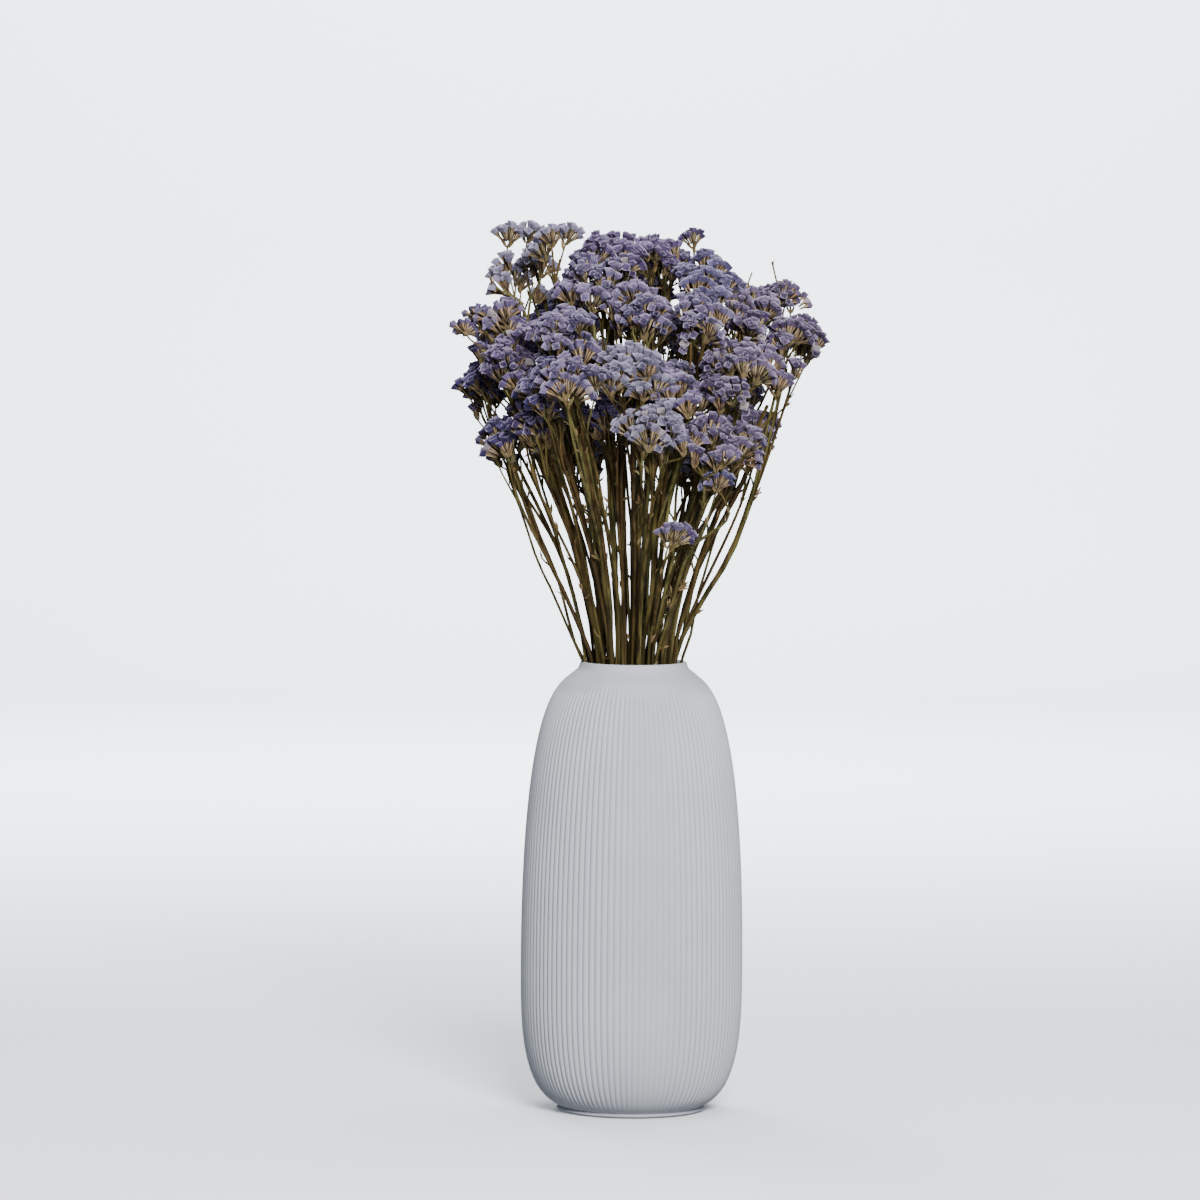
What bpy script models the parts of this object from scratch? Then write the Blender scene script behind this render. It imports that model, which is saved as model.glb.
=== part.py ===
"""Dried statice standing in its ribbed ceramic vase.

Metres, +Z up. The origin is the middle of the vase's foot. The viewer stands on the -Y side.
"""

import math

import bmesh
import bpy
import numpy as np
from mathutils import Matrix, Vector

MM = 0.001

# The vase: an egg-shaped body with fine upright ribs, a short narrow neck and a smooth foot.
VASE_HEIGHT = 310 * MM
BELLY_RADIUS = 76.4 * MM
BELLY_LEVEL = 100 * MM
WALL = 4.2 * MM
FLOOR_LEVEL = 6 * MM
# The body's outline below and above the belly: the curve's height and its two exponents.
LOWER_CURVE = (100.2 * MM, 2.95, 1 / 5.1)
UPPER_CURVE = (205.6 * MM, 2.23, 1 / 5.2)

# The crowns on the viewer's side. Each is the flower cluster at the end of one long branch:
# x, y and z of its middle in mm, its size from 1 to 6, and its tone.
NEAR_CROWNS = (
    (-78, 0, 587, 5, "pale"),
    (-49, -26, 597, 3, "pale"),
    (-18, -24, 592, 4, "violet"),
    (10, 8, 593, 4, "violet"),
    (34, 20, 599, 1, "violet"),
    (48, -24, 578, 5, "blue"),
    (-28, -52, 573, 4, "lilac"),
    (4, -66, 566, 4, "lilac"),
    (-48, -78, 548, 5, "lilac"),
    (-104, -14, 542, 4, "lilac"),
    (78, -42, 559, 3, "mauve"),
    (105, 8, 571, 2, "mauve"),
    (108, -18, 541, 3, "mauve"),
    (36, -80, 549, 3, "lilac"),
    (62, -86, 526, 6, "mauve"),
    (98, -32, 511, 1, "mauve"),
    (-6, -100, 521, 4, "pale"),
    (-38, -98, 526, 3, "lilac"),
    (-80, -54, 522, 4, "violet"),
    (-103, -8, 509, 3, "deep"),
    (-68, -76, 511, 3, "deep"),
    (-90, -22, 474, 3, "deep"),
    (-69, -48, 489, 3, "violet"),
    (-18, -54, 489, 3, "deep"),
    (28, -82, 503, 4, "lilac"),
    (20, -96, 490, 4, "pale"),
    (55, -88, 477, 5, "mauve"),
    (54, -92, 449, 2, "blue"),
    (30, -70, 408, 2, "lilac"),
    (-80, 10, 608, 1, "pale"),
    (86, -4, 480, 2, "mauve"),
)
# The crowns on the far side follow a rule: they fill the other half of the same egg shape.
FAR_CROWN_COUNT = 12
FAR_TOP = 574 * MM
FAR_PHASE = 0.5
FAR_SIZES = (4, 3, 5, 3)
FAR_TONES = ("violet", "lilac", "deep", "mauve", "blue", "pale")
BUNCH_RADIUS = 110 * MM
BUNCH_TOP = 592 * MM
BUNCH_WIDEST = 530 * MM
BUNCH_BOTTOM = 452 * MM
BUNCH_HALF_HEIGHT = 120 * MM
SIDE_LEAN = 0.5

# A crown is a dome of florets set rim to rim on a hexagonal grid, and it dips between its heads.
# Lengths inside a crown are shares of its dome's radius.
HEADS_FOR_SIZE = {1: 1, 2: 1, 3: 2, 4: 3, 5: 3, 6: 4}
FLORETS_FOR_SIZE = {1: 3, 2: 5, 3: 10, 4: 14, 5: 16, 6: 19}
FLORET_PITCH = 15.4 * MM
DOME_RADIUS_FOR_ONE = 5.9 * MM
DOME_RISE = 0.5
HEAD_FALL = 2.4 * MM
FUNNEL_DEPTH = 0.55
FAN_LENGTH = 0.75
HUB_DROP = 20 * MM
TWIG_STEP = 4.5 * MM

# The stems: a few plants stand in the vase and each forks into long branches.
BRANCHES_PER_PLANT = 3
OUTER_SHARE = 0.62
MOUTH_REACH = 30.2 * MM
STEEPEST = 0.5
# How far a branch bows outwards on its way up, as a share of its rise, and the crowns whose
# branches have a bow of their own. Less than nothing bows it inwards.
BOW = -0.22
OWN_BOWS = {12: 0.34, 21: 0.06}
# At its crown a branch turns this much towards the crown's axis and back from its bow.
CROWN_PULL = 0.16
BOW_BACK = 0.5
FORK_LEVEL = 170 * MM
FORK_STEP = 14 * MM
STEM_RADIUS = 3.2 * MM
BRANCH_RADIUS = 2.0 * MM
BRANCH_TIP_RADIUS = 1.6 * MM
TWIG_RADIUS = 0.95 * MM
STAND_GAP = 0.3 * MM
UPPER_SHARES = (0, 0.5, 1)

# Moving the parts of the bunch clear of each other.
CLEARANCE = 0.7 * MM
ROUNDS = 150
FLORET_REACH = 8.4 * MM
FLORET_SINK = 3 * MM
APEX_REACH = 2.6 * MM
UP = np.array([0, 0, 1.0])


def unit(vector):
    return vector / np.linalg.norm(vector)


def body_radius(z):
    """The vase's outer radius at a height between its foot and its neck."""
    height, bulge, flatness = LOWER_CURVE if z < BELLY_LEVEL else UPPER_CURVE
    share = abs(z - BELLY_LEVEL) / height
    return BELLY_RADIUS * (1 - share**bulge) ** flatness


def far_crowns():
    """Rows like those of NEAR_CROWNS, for the half of the bunch away from the viewer."""
    rows = []
    for k in range(FAR_CROWN_COUNT):
        share = (k + 0.5) / FAR_CROWN_COUNT
        z = FAR_TOP + (BUNCH_BOTTOM - FAR_TOP) * share
        inside = 1 - abs((z - BUNCH_WIDEST) / BUNCH_HALF_HEIGHT) ** 2.4
        radius = BUNCH_RADIUS * (0.1 + 0.75 * inside**0.5)
        turn = math.radians(14 + 152 * ((FAR_PHASE + k * 0.618034) % 1.0))
        size = FAR_SIZES[k % len(FAR_SIZES)]
        tone = FAR_TONES[k % len(FAR_TONES)]
        rows.append((radius * math.cos(turn) / MM, radius * math.sin(turn) / MM, z / MM, size, tone))
    return rows


def crown_axis(centre):
    """A crown looks up, and leans outwards more the lower and the further out it stands.

    It leans less to the left and right, where the bunch is widest.
    """
    out = np.array([centre[0] * SIDE_LEAN, centre[1], 0.0]) / BUNCH_RADIUS
    low = max(0.0, (BUNCH_TOP - centre[2]) / (190 * MM))
    return unit(out * (0.45 + 0.55 * low) + UP * (1 - 0.12 * np.linalg.norm(out)))


def floret_grid(count, rng):
    """Centres of the florets of one crown: the grid's cells nearest to a loosely drawn middle."""
    middle = rng.uniform(-0.5, 0.5, 2) * FLORET_PITCH
    stretch = rng.uniform(0.84, 1.16)
    cells = []
    for row in range(-4, 5):
        for column in range(-4, 5):
            x = FLORET_PITCH * (column + row / 2) - middle[0]
            y = FLORET_PITCH * row * math.sqrt(3) / 2 - middle[1]
            cells.append((math.hypot(x * stretch, y / stretch), x, y))
    cells.sort()
    return np.array([(x, y) for _, x, y in cells[:count]])


def head_cells(cells, heads):
    """Which florets are the middles of the heads: inner cells, as far from each other as they can be."""
    spread = np.hypot(cells[:, 0], cells[:, 1])
    inner = spread < 2 * FLORET_PITCH
    chosen = [int(np.argmax(np.where(spread < 1.25 * FLORET_PITCH, spread, 0)))]
    while len(chosen) < heads:
        reach = np.min([np.hypot(*(cells - cells[c]).T) for c in chosen], axis=0)
        chosen.append(int(np.argmax(reach * inner)))
    return chosen


def make_crown(index, row):
    """One crown: its middle, its axes, its florets and heads, and the hub where its branch ends."""
    rng = np.random.default_rng(1000 + index)
    centre = np.array(row[:3], float) * MM
    axis = crown_axis(centre)
    side = unit(np.cross(axis, [0.31, 1.0, 0.12]))
    turn = rng.uniform(0, 2 * math.pi)
    first = side * math.cos(turn) + np.cross(axis, side) * math.sin(turn)
    count = FLORETS_FOR_SIZE[row[3]]
    cells = floret_grid(count, rng)
    dome = DOME_RADIUS_FOR_ONE * math.sqrt(count)
    return {
        "index": index,
        "centre": centre,
        "axis": axis,
        "frame": np.array([first, np.cross(axis, first), axis]),
        "cells": cells,
        "heads": head_cells(cells, HEADS_FOR_SIZE[row[3]]),
        "dome": dome,
        "tone": row[4],
        "hub": centre - axis * (DOME_RISE * dome + HUB_DROP),
    }


def dome_point(crown, u, v, lift=0.0, depth=0.0):
    """Place and outward normal at u, v on a crown's dome.

    The point is lifted off the dome by a distance, or sunk below it by a share of its radius.
    """
    angle = math.hypot(u, v) / crown["dome"]
    turn = math.atan2(v, u)
    near = min(math.hypot(u - crown["cells"][h][0], v - crown["cells"][h][1]) for h in crown["heads"])
    fall = HEAD_FALL * min(near / FLORET_PITCH, 1.5) ** 2
    radius = (crown["dome"] - fall) * (1 - depth) + lift
    local = (math.sin(angle) * math.cos(turn), math.sin(angle) * math.sin(turn), math.cos(angle))
    normal = np.array(local) @ crown["frame"]
    middle = crown["centre"] + crown["axis"] * crown["dome"] * (DOME_RISE - 1)
    return middle + normal * radius, normal


def twig_root(crown, number, path_end, path_before):
    """Where the twig of a crown's head leaves the branch: each a step lower than the one before."""
    return path_end - unit(path_end - path_before) * (TWIG_STEP * number + 1.5 * MM)


def hermite(start, end, leave, arrive, shares):
    """Points of the cubic curve from start to end with these end tangents."""
    s = np.asarray(shares)[:, None]
    return (
        (2 * s**3 - 3 * s**2 + 1) * start
        + (s**3 - 2 * s**2 + s) * leave
        + (3 * s**2 - 2 * s**3) * end
        + (s**3 - s**2) * arrive
    )


def mouth_point(crown):
    """Where a branch passes the vase's mouth: the more it leans, the nearer to the lip."""
    out = crown["hub"][:2]
    slope = np.linalg.norm(out) / (crown["hub"][2] - VASE_HEIGHT + 20 * MM)
    reach = MOUTH_REACH * min(1.0, slope / STEEPEST) ** 0.75
    return np.array([*(unit(out) * reach), VASE_HEIGHT])


def group_plants(crowns):
    """Branches that pass the mouth side by side grow from one plant: lists of crown numbers."""
    at = [mouth_point(crown)[:2] for crown in crowns]
    by_reach = sorted(range(len(crowns)), key=lambda k: -np.linalg.norm(at[k]))
    cut = int(len(crowns) * OUTER_SHARE)
    plants = []
    for members in (by_reach[:cut], by_reach[cut:]):
        members.sort(key=lambda k: math.atan2(at[k][1], at[k][0]))
        for start in range(0, len(members), BRANCHES_PER_PLANT):
            plants.append(members[start : start + BRANCHES_PER_PLANT])
    return plants


def branch_path(crown, fork):
    """Points of a branch from its fork in the vase, through the mouth, to its crown's hub."""
    mouth, hub = mouth_point(crown), crown["hub"]
    rise = hub[2] - mouth[2]
    along = unit(hub - mouth)
    outwards = unit(np.array([hub[0], hub[1], 0.0])) * min(1.0, np.hypot(*hub[:2]) / (60 * MM))
    bow = OWN_BOWS.get(crown["index"], BOW)
    leave = unit(along + bow * outwards)
    arrive = unit(along + CROWN_PULL * crown["axis"] - BOW_BACK * bow * outwards)
    lower = hermite(fork, mouth, UP * 90 * MM, leave * 90 * MM, (0, 0.5))
    return np.vstack([lower, hermite(mouth, hub, leave * rise, arrive * rise, UPPER_SHARES)])


def plant_stems(crowns, plants):
    """The path of each plant's stem, from the vase's floor to its fork."""
    stems = []
    for n, members in enumerate(plants):
        at = np.mean([mouth_point(crowns[k])[:2] for k in members], axis=0)
        fork = np.array([*(at * 1.25), FORK_LEVEL + FORK_STEP * (n % 4)])
        foot = np.array([*(at * 1.35), FLOOR_LEVEL + STAND_GAP])
        stems.append(np.array([foot, (fork + foot) / 2 + np.array([*(at * 0.12), 0]), fork]))
    return stems


def closest_shares(p0, p1, q0, q1):
    """How far along each pair of rods, p and q, they come closest to each other."""
    along_p, along_q, between = p1 - p0, q1 - q0, p0 - q0
    pp = np.einsum("ij,ij->i", along_p, along_p) + 1e-12
    qq = np.einsum("ij,ij->i", along_q, along_q) + 1e-12
    pq = np.einsum("ij,ij->i", along_p, along_q)
    pb = np.einsum("ij,ij->i", along_p, between)
    qb = np.einsum("ij,ij->i", along_q, between)
    s = np.clip((pq * qb - pb * qq) / np.maximum(pp * qq - pq * pq, 1e-12), 0, 1)
    t = np.clip((pq * s + qb) / qq, 0, 1)
    return np.clip((pq * t - pb) / pp, 0, 1), t


class Bunch:
    """The bunch as round-ended rods between points, which are moved until they are clear.

    A point belongs to a crown and moves with all of it, or lies on a branch and moves alone,
    or is fixed.
    """

    ALONE, FIXED = -1, -2

    def __init__(self, crowns, plants, stems):
        self.crowns = crowns
        self.points, self.owner, self.rods, self.paths = [], [], [], []
        plant_of = {k: n for n, members in enumerate(plants) for k in members}
        for k, crown in enumerate(crowns):
            self.add_branch(k, branch_path(crown, stems[plant_of[k]][-1]), plant_of[k])
            self.add_crown(k, plant_of[k])
        for n, stem in enumerate(stems):
            ids = [self.add_point(p, self.FIXED) for p in stem]
            for low, high in zip(ids, ids[1:]):
                self.rods.append((low, high, STEM_RADIUS, STEM_RADIUS, -1 - n, n, True))
        self.points = np.array(self.points)
        self.owner = np.array(self.owner)
        self.rest = self.points.copy()
        self.start, self.end = (np.array([rod[n] for rod in self.rods]) for n in (0, 1))
        self.radii = np.array([rod[2:4] for rod in self.rods])
        self.pairs = self.pairs_to_watch()

    def add_point(self, place, owner):
        self.points.append(np.array(place, float))
        self.owner.append(owner)
        return len(self.points) - 1

    def add_branch(self, k, path, plant):
        ids = [self.add_point(p, self.ALONE) for p in path[:-1]] + [self.add_point(path[-1], k)]
        radii = np.linspace(BRANCH_RADIUS, BRANCH_TIP_RADIUS, len(ids))
        for n in range(len(ids) - 1):
            self.rods.append((ids[n], ids[n + 1], radii[n], radii[n + 1], k, plant, n == 0))
        self.paths.append(ids)

    def add_crown(self, k, plant):
        crown = self.crowns[k]
        hub, before = self.points[self.paths[k][-1]], self.points[self.paths[k][-2]]
        for n, head in enumerate(crown["heads"]):
            cell = crown["cells"][head]
            root = self.add_point(twig_root(crown, n, hub, before), k)
            base = self.add_point(dome_point(crown, *cell, depth=FAN_LENGTH)[0], k)
            top = self.add_point(dome_point(crown, *cell, depth=0.5)[0], k)
            self.rods.append((root, base, TWIG_RADIUS, TWIG_RADIUS, k, plant, False))
            self.rods.append((base, top, 2 * MM, 5 * MM, k, plant, False))
        for cell in crown["cells"]:
            spot = self.add_point(dome_point(crown, *cell, -FLORET_SINK)[0], k)
            apex = self.add_point(dome_point(crown, *cell, depth=FUNNEL_DEPTH)[0], k)
            self.rods.append((spot, apex, FLORET_REACH, APEX_REACH, k, plant, False))

    def pairs_to_watch(self):
        """Pairs of rods of different branches, but not those that meet at a plant's fork."""
        spray, plant, at_fork = (np.array([rod[n] for rod in self.rods]) for n in (4, 5, 6))
        a, b = np.triu_indices(len(self.rods), 1)
        meet = (plant[a] == plant[b]) & (at_fork[a] | at_fork[b])
        watched = (spray[a] != spray[b]) & ~meet
        return a[watched], b[watched]

    def contacts(self):
        """Pairs of rods that are too near: both rods, both shares, the way apart and the shortfall."""
        p, (a, b) = self.points, self.pairs
        middle = (p[self.start] + p[self.end]) / 2
        reach = np.linalg.norm(p[self.start] - p[self.end], axis=1) / 2 + self.radii.max(axis=1)
        near = np.linalg.norm(middle[a] - middle[b], axis=1) < reach[a] + reach[b] + CLEARANCE
        a, b = a[near], b[near]
        s, t = closest_shares(p[self.start[a]], p[self.end[a]], p[self.start[b]], p[self.end[b]])
        at_a = p[self.start[a]] * (1 - s)[:, None] + p[self.end[a]] * s[:, None]
        at_b = p[self.start[b]] * (1 - t)[:, None] + p[self.end[b]] * t[:, None]
        apart = np.linalg.norm(at_a - at_b, axis=1)
        need = self.radii[a, 0] * (1 - s) + self.radii[a, 1] * s + CLEARANCE
        need += self.radii[b, 0] * (1 - t) + self.radii[b, 1] * t
        hit = need > apart
        away = (at_a - at_b)[hit] / np.maximum(apart[hit], 1e-6)[:, None]
        return a[hit], b[hit], s[hit], t[hit], away, (need - apart)[hit]

    def push_apart(self, pull):
        """One round: every contact pushes both its rods, and pull draws all back to their places."""
        a, b, s, t, away, short = self.contacts()
        move, weight = np.zeros_like(self.points), np.zeros(len(self.points))
        for rods, share, sign in ((a, s, 0.5), (b, t, -0.5)):
            for ends, part in ((self.start, 1 - share), (self.end, share)):
                np.add.at(move, ends[rods], sign * away * (short * part)[:, None])
                np.add.at(weight, ends[rods], part)
        alone = self.owner == self.ALONE
        self.points[alone] += 1.3 * move[alone] / np.maximum(weight[alone], 1)[:, None]
        self.points[alone] += pull * (self.rest - self.points)[alone]
        for k in range(len(self.crowns)):
            mine = self.owner == k
            shove = move[mine].sum(axis=0) / max(weight[mine].sum() ** 0.5, 1.0)
            shove *= min(1.0, 2.5 * MM / max(np.linalg.norm(shove), 1e-9))
            self.points[mine] += 1.2 * shove + pull * (self.rest - self.points)[mine].mean(axis=0)
        self.smooth_branches()

    def smooth_branches(self):
        """Keeps each branch's bends near those it had, and its mouth point inside the mouth."""
        for ids in self.paths:
            inner = np.array(ids[1:-1])
            bend = (self.points[inner - 1] + self.points[inner + 1]) / 2 - self.points[inner]
            first_bend = (self.rest[inner - 1] + self.rest[inner + 1]) / 2 - self.rest[inner]
            self.points[inner] += 0.22 * (bend - first_bend)
            mouth = self.points[ids[2]]
            mouth[:2] *= min(1.0, MOUTH_REACH / max(np.linalg.norm(mouth[:2]), 1e-9))
            mouth[2] = VASE_HEIGHT


def lay_out_bunch():
    """Crowns with their branch paths, the plants they belong to, and the plants' stems."""
    rows = list(NEAR_CROWNS) + far_crowns()
    crowns = [make_crown(k, row) for k, row in enumerate(rows)]
    plants = group_plants(crowns)
    stems = plant_stems(crowns, plants)
    bunch = Bunch(crowns, plants, stems)
    for n in range(ROUNDS):
        bunch.push_apart(0.03 * max(0.0, 1 - n / (0.75 * ROUNDS)))
    for crown, ids in zip(crowns, bunch.paths):
        moved = bunch.points[ids[-1]] - bunch.rest[ids[-1]]
        crown["centre"] = crown["centre"] + moved
        crown["hub"] = crown["hub"] + moved
        crown["path"] = bunch.points[ids]
    return crowns, plants, stems


# Shapes made only here: the vase's rings, the florets' cups and the calyx fans.
RIB_COUNT = 108
RIB_DEPTH = 0.9 * MM
RIB_LEVELS = [level * MM for level in (8, 19, 40, 77, 176, 240, 275, 293)]
SMOOTH_SIDES = 36
INNER_LEVELS = [level * MM for level in (296, 272, 225, 120, 30, 6)]
INNER_SIDES = 18
FOOT_RADIUS = 50.5 * MM
NECK_RADIUS = 40.6 * MM
NECK_LEVEL = 303.5 * MM
LIP_RADIUS = 36.7 * MM
RUFFLE = 1.6 * MM
RIM_THICKNESS = 1.1 * MM
CUP_DEPTH = 3.2 * MM
FAN_SPREAD = 0.84
FAN_GAP = 0.6 * MM
STEM_SIDES = 5
BRANCH_SIDES = 4
TWIG_SIDES = 3
TONES = {
    "pale": (0.45, 0.44, 0.56),
    "lilac": (0.28, 0.25, 0.38),
    "violet": (0.15, 0.11, 0.23),
    "deep": (0.12, 0.10, 0.22),
    "blue": (0.17, 0.16, 0.32),
    "mauve": (0.23, 0.19, 0.33),
}


def make_material(name, colour, roughness):
    material = bpy.data.materials.new(name)
    material.use_nodes = True
    shader = material.node_tree.nodes["Principled BSDF"]
    shader.inputs["Base Color"].default_value = (*colour, 1)
    shader.inputs["Roughness"].default_value = roughness
    return material


def to_object(bm, name, material):
    """Ends a bmesh as an object of the scene, its faces turned outwards."""
    bmesh.ops.recalc_face_normals(bm, faces=bm.faces)
    mesh = bpy.data.meshes.new(name)
    bm.to_mesh(mesh)
    bm.free()
    mesh.materials.append(material)
    thing = bpy.data.objects.new(name, mesh)
    bpy.context.scene.collection.objects.link(thing)
    return thing


def add_ring(bm, sides, radius, place, ahead=(0, 0, 1), guide=(1, 0, 0)):
    """A ring of edges square to a direction, its first point on the guide's side.

    Returns its points and its edges.
    """
    ahead = Vector(ahead).normalized()
    side = (Vector(guide) - ahead * ahead.dot(Vector(guide))).normalized()
    where = Matrix((side.cross(ahead), side, ahead)).transposed().to_4x4()
    where.translation = place
    verts = bmesh.ops.create_circle(bm, segments=sides, radius=radius, matrix=where)["verts"]
    return verts, list({edge for vert in verts for edge in vert.link_edges})


def join_rings(bm, rings):
    """Faces between each ring and the next, and a cap on both ends."""
    for (_, low), (_, high) in zip(rings, rings[1:]):
        bmesh.ops.bridge_loops(bm, edges=low + high)
    for verts, _ in (rings[0], rings[-1]):
        bmesh.ops.contextual_create(bm, geom=verts)


def make_vase(material):
    """The vase as one turned wall: ribbed outside, smooth at its foot, neck, lip and inside."""
    bm = bmesh.new()
    rings = [add_ring(bm, SMOOTH_SIDES, FOOT_RADIUS, (0, 0, 0))]
    rings.append(add_ring(bm, SMOOTH_SIDES, body_radius(4 * MM), (0, 0, 4 * MM)))
    for z in RIB_LEVELS:
        verts, edges = add_ring(bm, 2 * RIB_COUNT, body_radius(z), (0, 0, z))
        valleys = 1 - RIB_DEPTH / body_radius(z)
        bmesh.ops.scale(bm, vec=(valleys, valleys, 1), verts=verts[::2])
        rings.append((verts, edges))
    for radius, z in (
        (NECK_RADIUS, NECK_LEVEL),
        (LIP_RADIUS + 1.2 * MM, NECK_LEVEL + 1.8 * MM),
        (LIP_RADIUS, VASE_HEIGHT - 1.2 * MM),
        (LIP_RADIUS - 0.9 * MM, VASE_HEIGHT),
        (LIP_RADIUS - 2.2 * MM, VASE_HEIGHT - 0.3 * MM),
        (LIP_RADIUS - 2.6 * MM, NECK_LEVEL),
    ):
        rings.append(add_ring(bm, SMOOTH_SIDES, radius, (0, 0, z)))
    for z in INNER_LEVELS:
        rings.append(add_ring(bm, INNER_SIDES, body_radius(z) - WALL, (0, 0, z)))
    join_rings(bm, rings)
    return to_object(bm, "vase", material)


def floret_rims(crown, rng):
    """The ruffled rim points of a crown's florets, shared where two florets meet.

    Returns the points as (u, v, lift) and, for each floret, the numbers of its six.
    """
    reach = FLORET_PITCH / math.sqrt(3)
    points, rims, number_of = [], [], {}
    for x, y in crown["cells"]:
        rim = []
        for k in range(6):
            u = x + reach * math.cos(math.radians(30 + 60 * k))
            v = y + reach * math.sin(math.radians(30 + 60 * k))
            key = (round(u / (0.1 * MM)), round(v / (0.1 * MM)))
            found = [key_near for key_near in number_of if math.dist(key, key_near) < 3]
            if not found:
                number_of[key] = len(points)
                shift = rng.uniform(-0.08, 0.08, 2) * FLORET_PITCH
                lift = RUFFLE * ((1 if k % 2 else -1) + rng.uniform(-0.5, 0.5))
                points.append((u + shift[0], v + shift[1], lift))
            rim.append(number_of[found[0] if found else key])
        rims.append(rim)
    return points, rims


def make_crown_sheet(crown, material):
    """A crown's florets as one sheet of cups: ruffled rims, dished tops and pointed undersides.

    The cups' undersides are kept in the crown, for the calyx fans below them.
    """
    bm = bmesh.new()
    points, rims = floret_rims(crown, np.random.default_rng(5000 + crown["index"]))
    top = [bm.verts.new(dome_point(crown, u, v, lift)[0]) for u, v, lift in points]
    low = [bm.verts.new(dome_point(crown, u, v, lift - RIM_THICKNESS)[0]) for u, v, lift in points]
    for cell, rim in zip(crown["cells"], rims):
        middle = bm.verts.new(dome_point(crown, *cell, -CUP_DEPTH)[0])
        point = bm.verts.new(dome_point(crown, *cell, depth=FUNNEL_DEPTH)[0])
        for a, b in zip(rim, rim[1:] + rim[:1]):
            bm.faces.new((middle, top[a], top[b]))
            bm.faces.new((point, low[b], low[a]))
    bm.edges.ensure_lookup_table()
    for rim in rims:
        for a, b in zip(rim, rim[1:] + rim[:1]):
            if len(bm.edges.get((top[a], top[b])).link_faces) == 1:
                bm.faces.new((top[b], top[a], low[a], low[b]))
    crown["hollows"] = {head: [np.array(low[k].co) for k in rims[head]] for head in crown["heads"]}
    return to_object(bm, f"crown_{crown['index'] + 1:02d}_{crown['tone']}", material)


def make_tube(name, points, radii, sides, turn, material):
    """A closed straight-sided tube along a path."""
    bm = bmesh.new()
    ahead = np.gradient(np.asarray(points, float), axis=0)
    guide = (math.cos(turn), math.sin(turn), 0)
    rings = [add_ring(bm, sides, r, p, d, guide) for p, d, r in zip(points, ahead, radii)]
    join_rings(bm, rings)
    bmesh.ops.triangulate(bm, faces=bm.faces)
    return to_object(bm, name, material)


def make_twig(name, crown, number, material):
    """The twig of one head and its calyx fan, which fills the hollow under the head's middle floret."""
    head = crown["heads"][number]
    cell = crown["cells"][head]
    apex, normal = dome_point(crown, *cell, depth=FUNNEL_DEPTH)
    base = dome_point(crown, *cell, depth=FAN_LENGTH)[0]
    root = twig_root(crown, number, crown["path"][-1], crown["path"][-2])
    bm = bmesh.new()
    guide = crown["hollows"][head][0] - apex
    rings = [add_ring(bm, TWIG_SIDES, TWIG_RADIUS, root, base - root, guide)]
    rings.append(add_ring(bm, TWIG_SIDES, TWIG_RADIUS * 1.25, base, normal, guide))
    rim = [bm.verts.new(apex + (p - apex) * FAN_SPREAD - normal * FAN_GAP) for p in crown["hollows"][head]]
    bmesh.ops.bridge_loops(bm, edges=rings[0][1] + rings[1][1])
    bmesh.ops.contextual_create(bm, geom=rings[0][0])
    bmesh.ops.triangulate(bm, faces=bm.faces)
    foot = rings[1][0]
    point = bm.verts.new(apex - normal * FAN_GAP)
    for k, (a, b) in enumerate(zip(rim, rim[1:] + rim[:1])):
        bm.faces.new((point, a, b))
        bm.faces.new((b, a, foot[(k + 1) // 2 % TWIG_SIDES]))
    for k in range(TWIG_SIDES):
        bm.faces.new((foot[k], foot[(k + 1) % TWIG_SIDES], rim[2 * k + 1]))
    return to_object(bm, name, material)


def fuse(name, shapes):
    """One solid from overlapping shapes, by one Boolean union over a collection."""
    first, *others = shapes
    group = bpy.data.collections.new(name)
    bpy.context.scene.collection.children.link(group)
    for shape in others:
        bpy.context.scene.collection.objects.unlink(shape)
        group.objects.link(shape)
    union = first.modifiers.new("union", "BOOLEAN")
    union.operation = "UNION"
    union.operand_type = "COLLECTION"
    union.collection = group
    union.solver = "MANIFOLD"
    bpy.context.view_layer.objects.active = first
    bpy.ops.object.modifier_apply(modifier=union.name)
    for shape in others:
        bpy.data.objects.remove(shape)
    bpy.data.collections.remove(group)
    first.name = name
    return first


def make_plant(number, members, stem, crowns, material):
    """One plant: its stem in the vase, its branches, and the twigs and calyx fans of their heads."""
    top = stem[-1] + unit(stem[-1] - stem[-2]) * 4 * MM
    shapes = [make_tube("stem", [*stem[:-1], top], [STEM_RADIUS] * len(stem), STEM_SIDES, 0.3, material)]
    for n, k in enumerate(members):
        crown = crowns[k]
        path = crown["path"].copy()
        path[0] -= UP * (5 + 3 * n) * MM
        radii = np.linspace(BRANCH_RADIUS, BRANCH_TIP_RADIUS, len(path))
        shapes.append(make_tube("branch", path, radii, BRANCH_SIDES, 0.4 + n, material))
        for head_number in range(len(crown["heads"])):
            shapes.append(make_twig("twig", crown, head_number, material))
    return fuse(f"plant_{number + 1:02d}", shapes)


def main():
    for thing in list(bpy.data.objects):
        bpy.data.objects.remove(thing)
    crowns, plants, stems = lay_out_bunch()
    make_vase(make_material("ceramic", (0.55, 0.58, 0.62), 0.75))
    tones = {tone: make_material(tone, colour, 0.9) for tone, colour in TONES.items()}
    for crown in crowns:
        make_crown_sheet(crown, tones[crown["tone"]])
    stalk = make_material("stalk", (0.11, 0.09, 0.035), 0.85)
    for n, members in enumerate(plants):
        make_plant(n, members, stems[n], crowns, stalk)


main()
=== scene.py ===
"""Dried statice in its ribbed ceramic vase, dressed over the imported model.

Metres, +Z up. The origin is the middle of the vase's foot, and the photograph was taken from the
-Y side. The bunch is laid out by the part source's own rule, so flowers and stems follow their
solids.
"""

import math

import bmesh
import bpy
import numpy as np
from mathutils import Matrix, Vector


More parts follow.
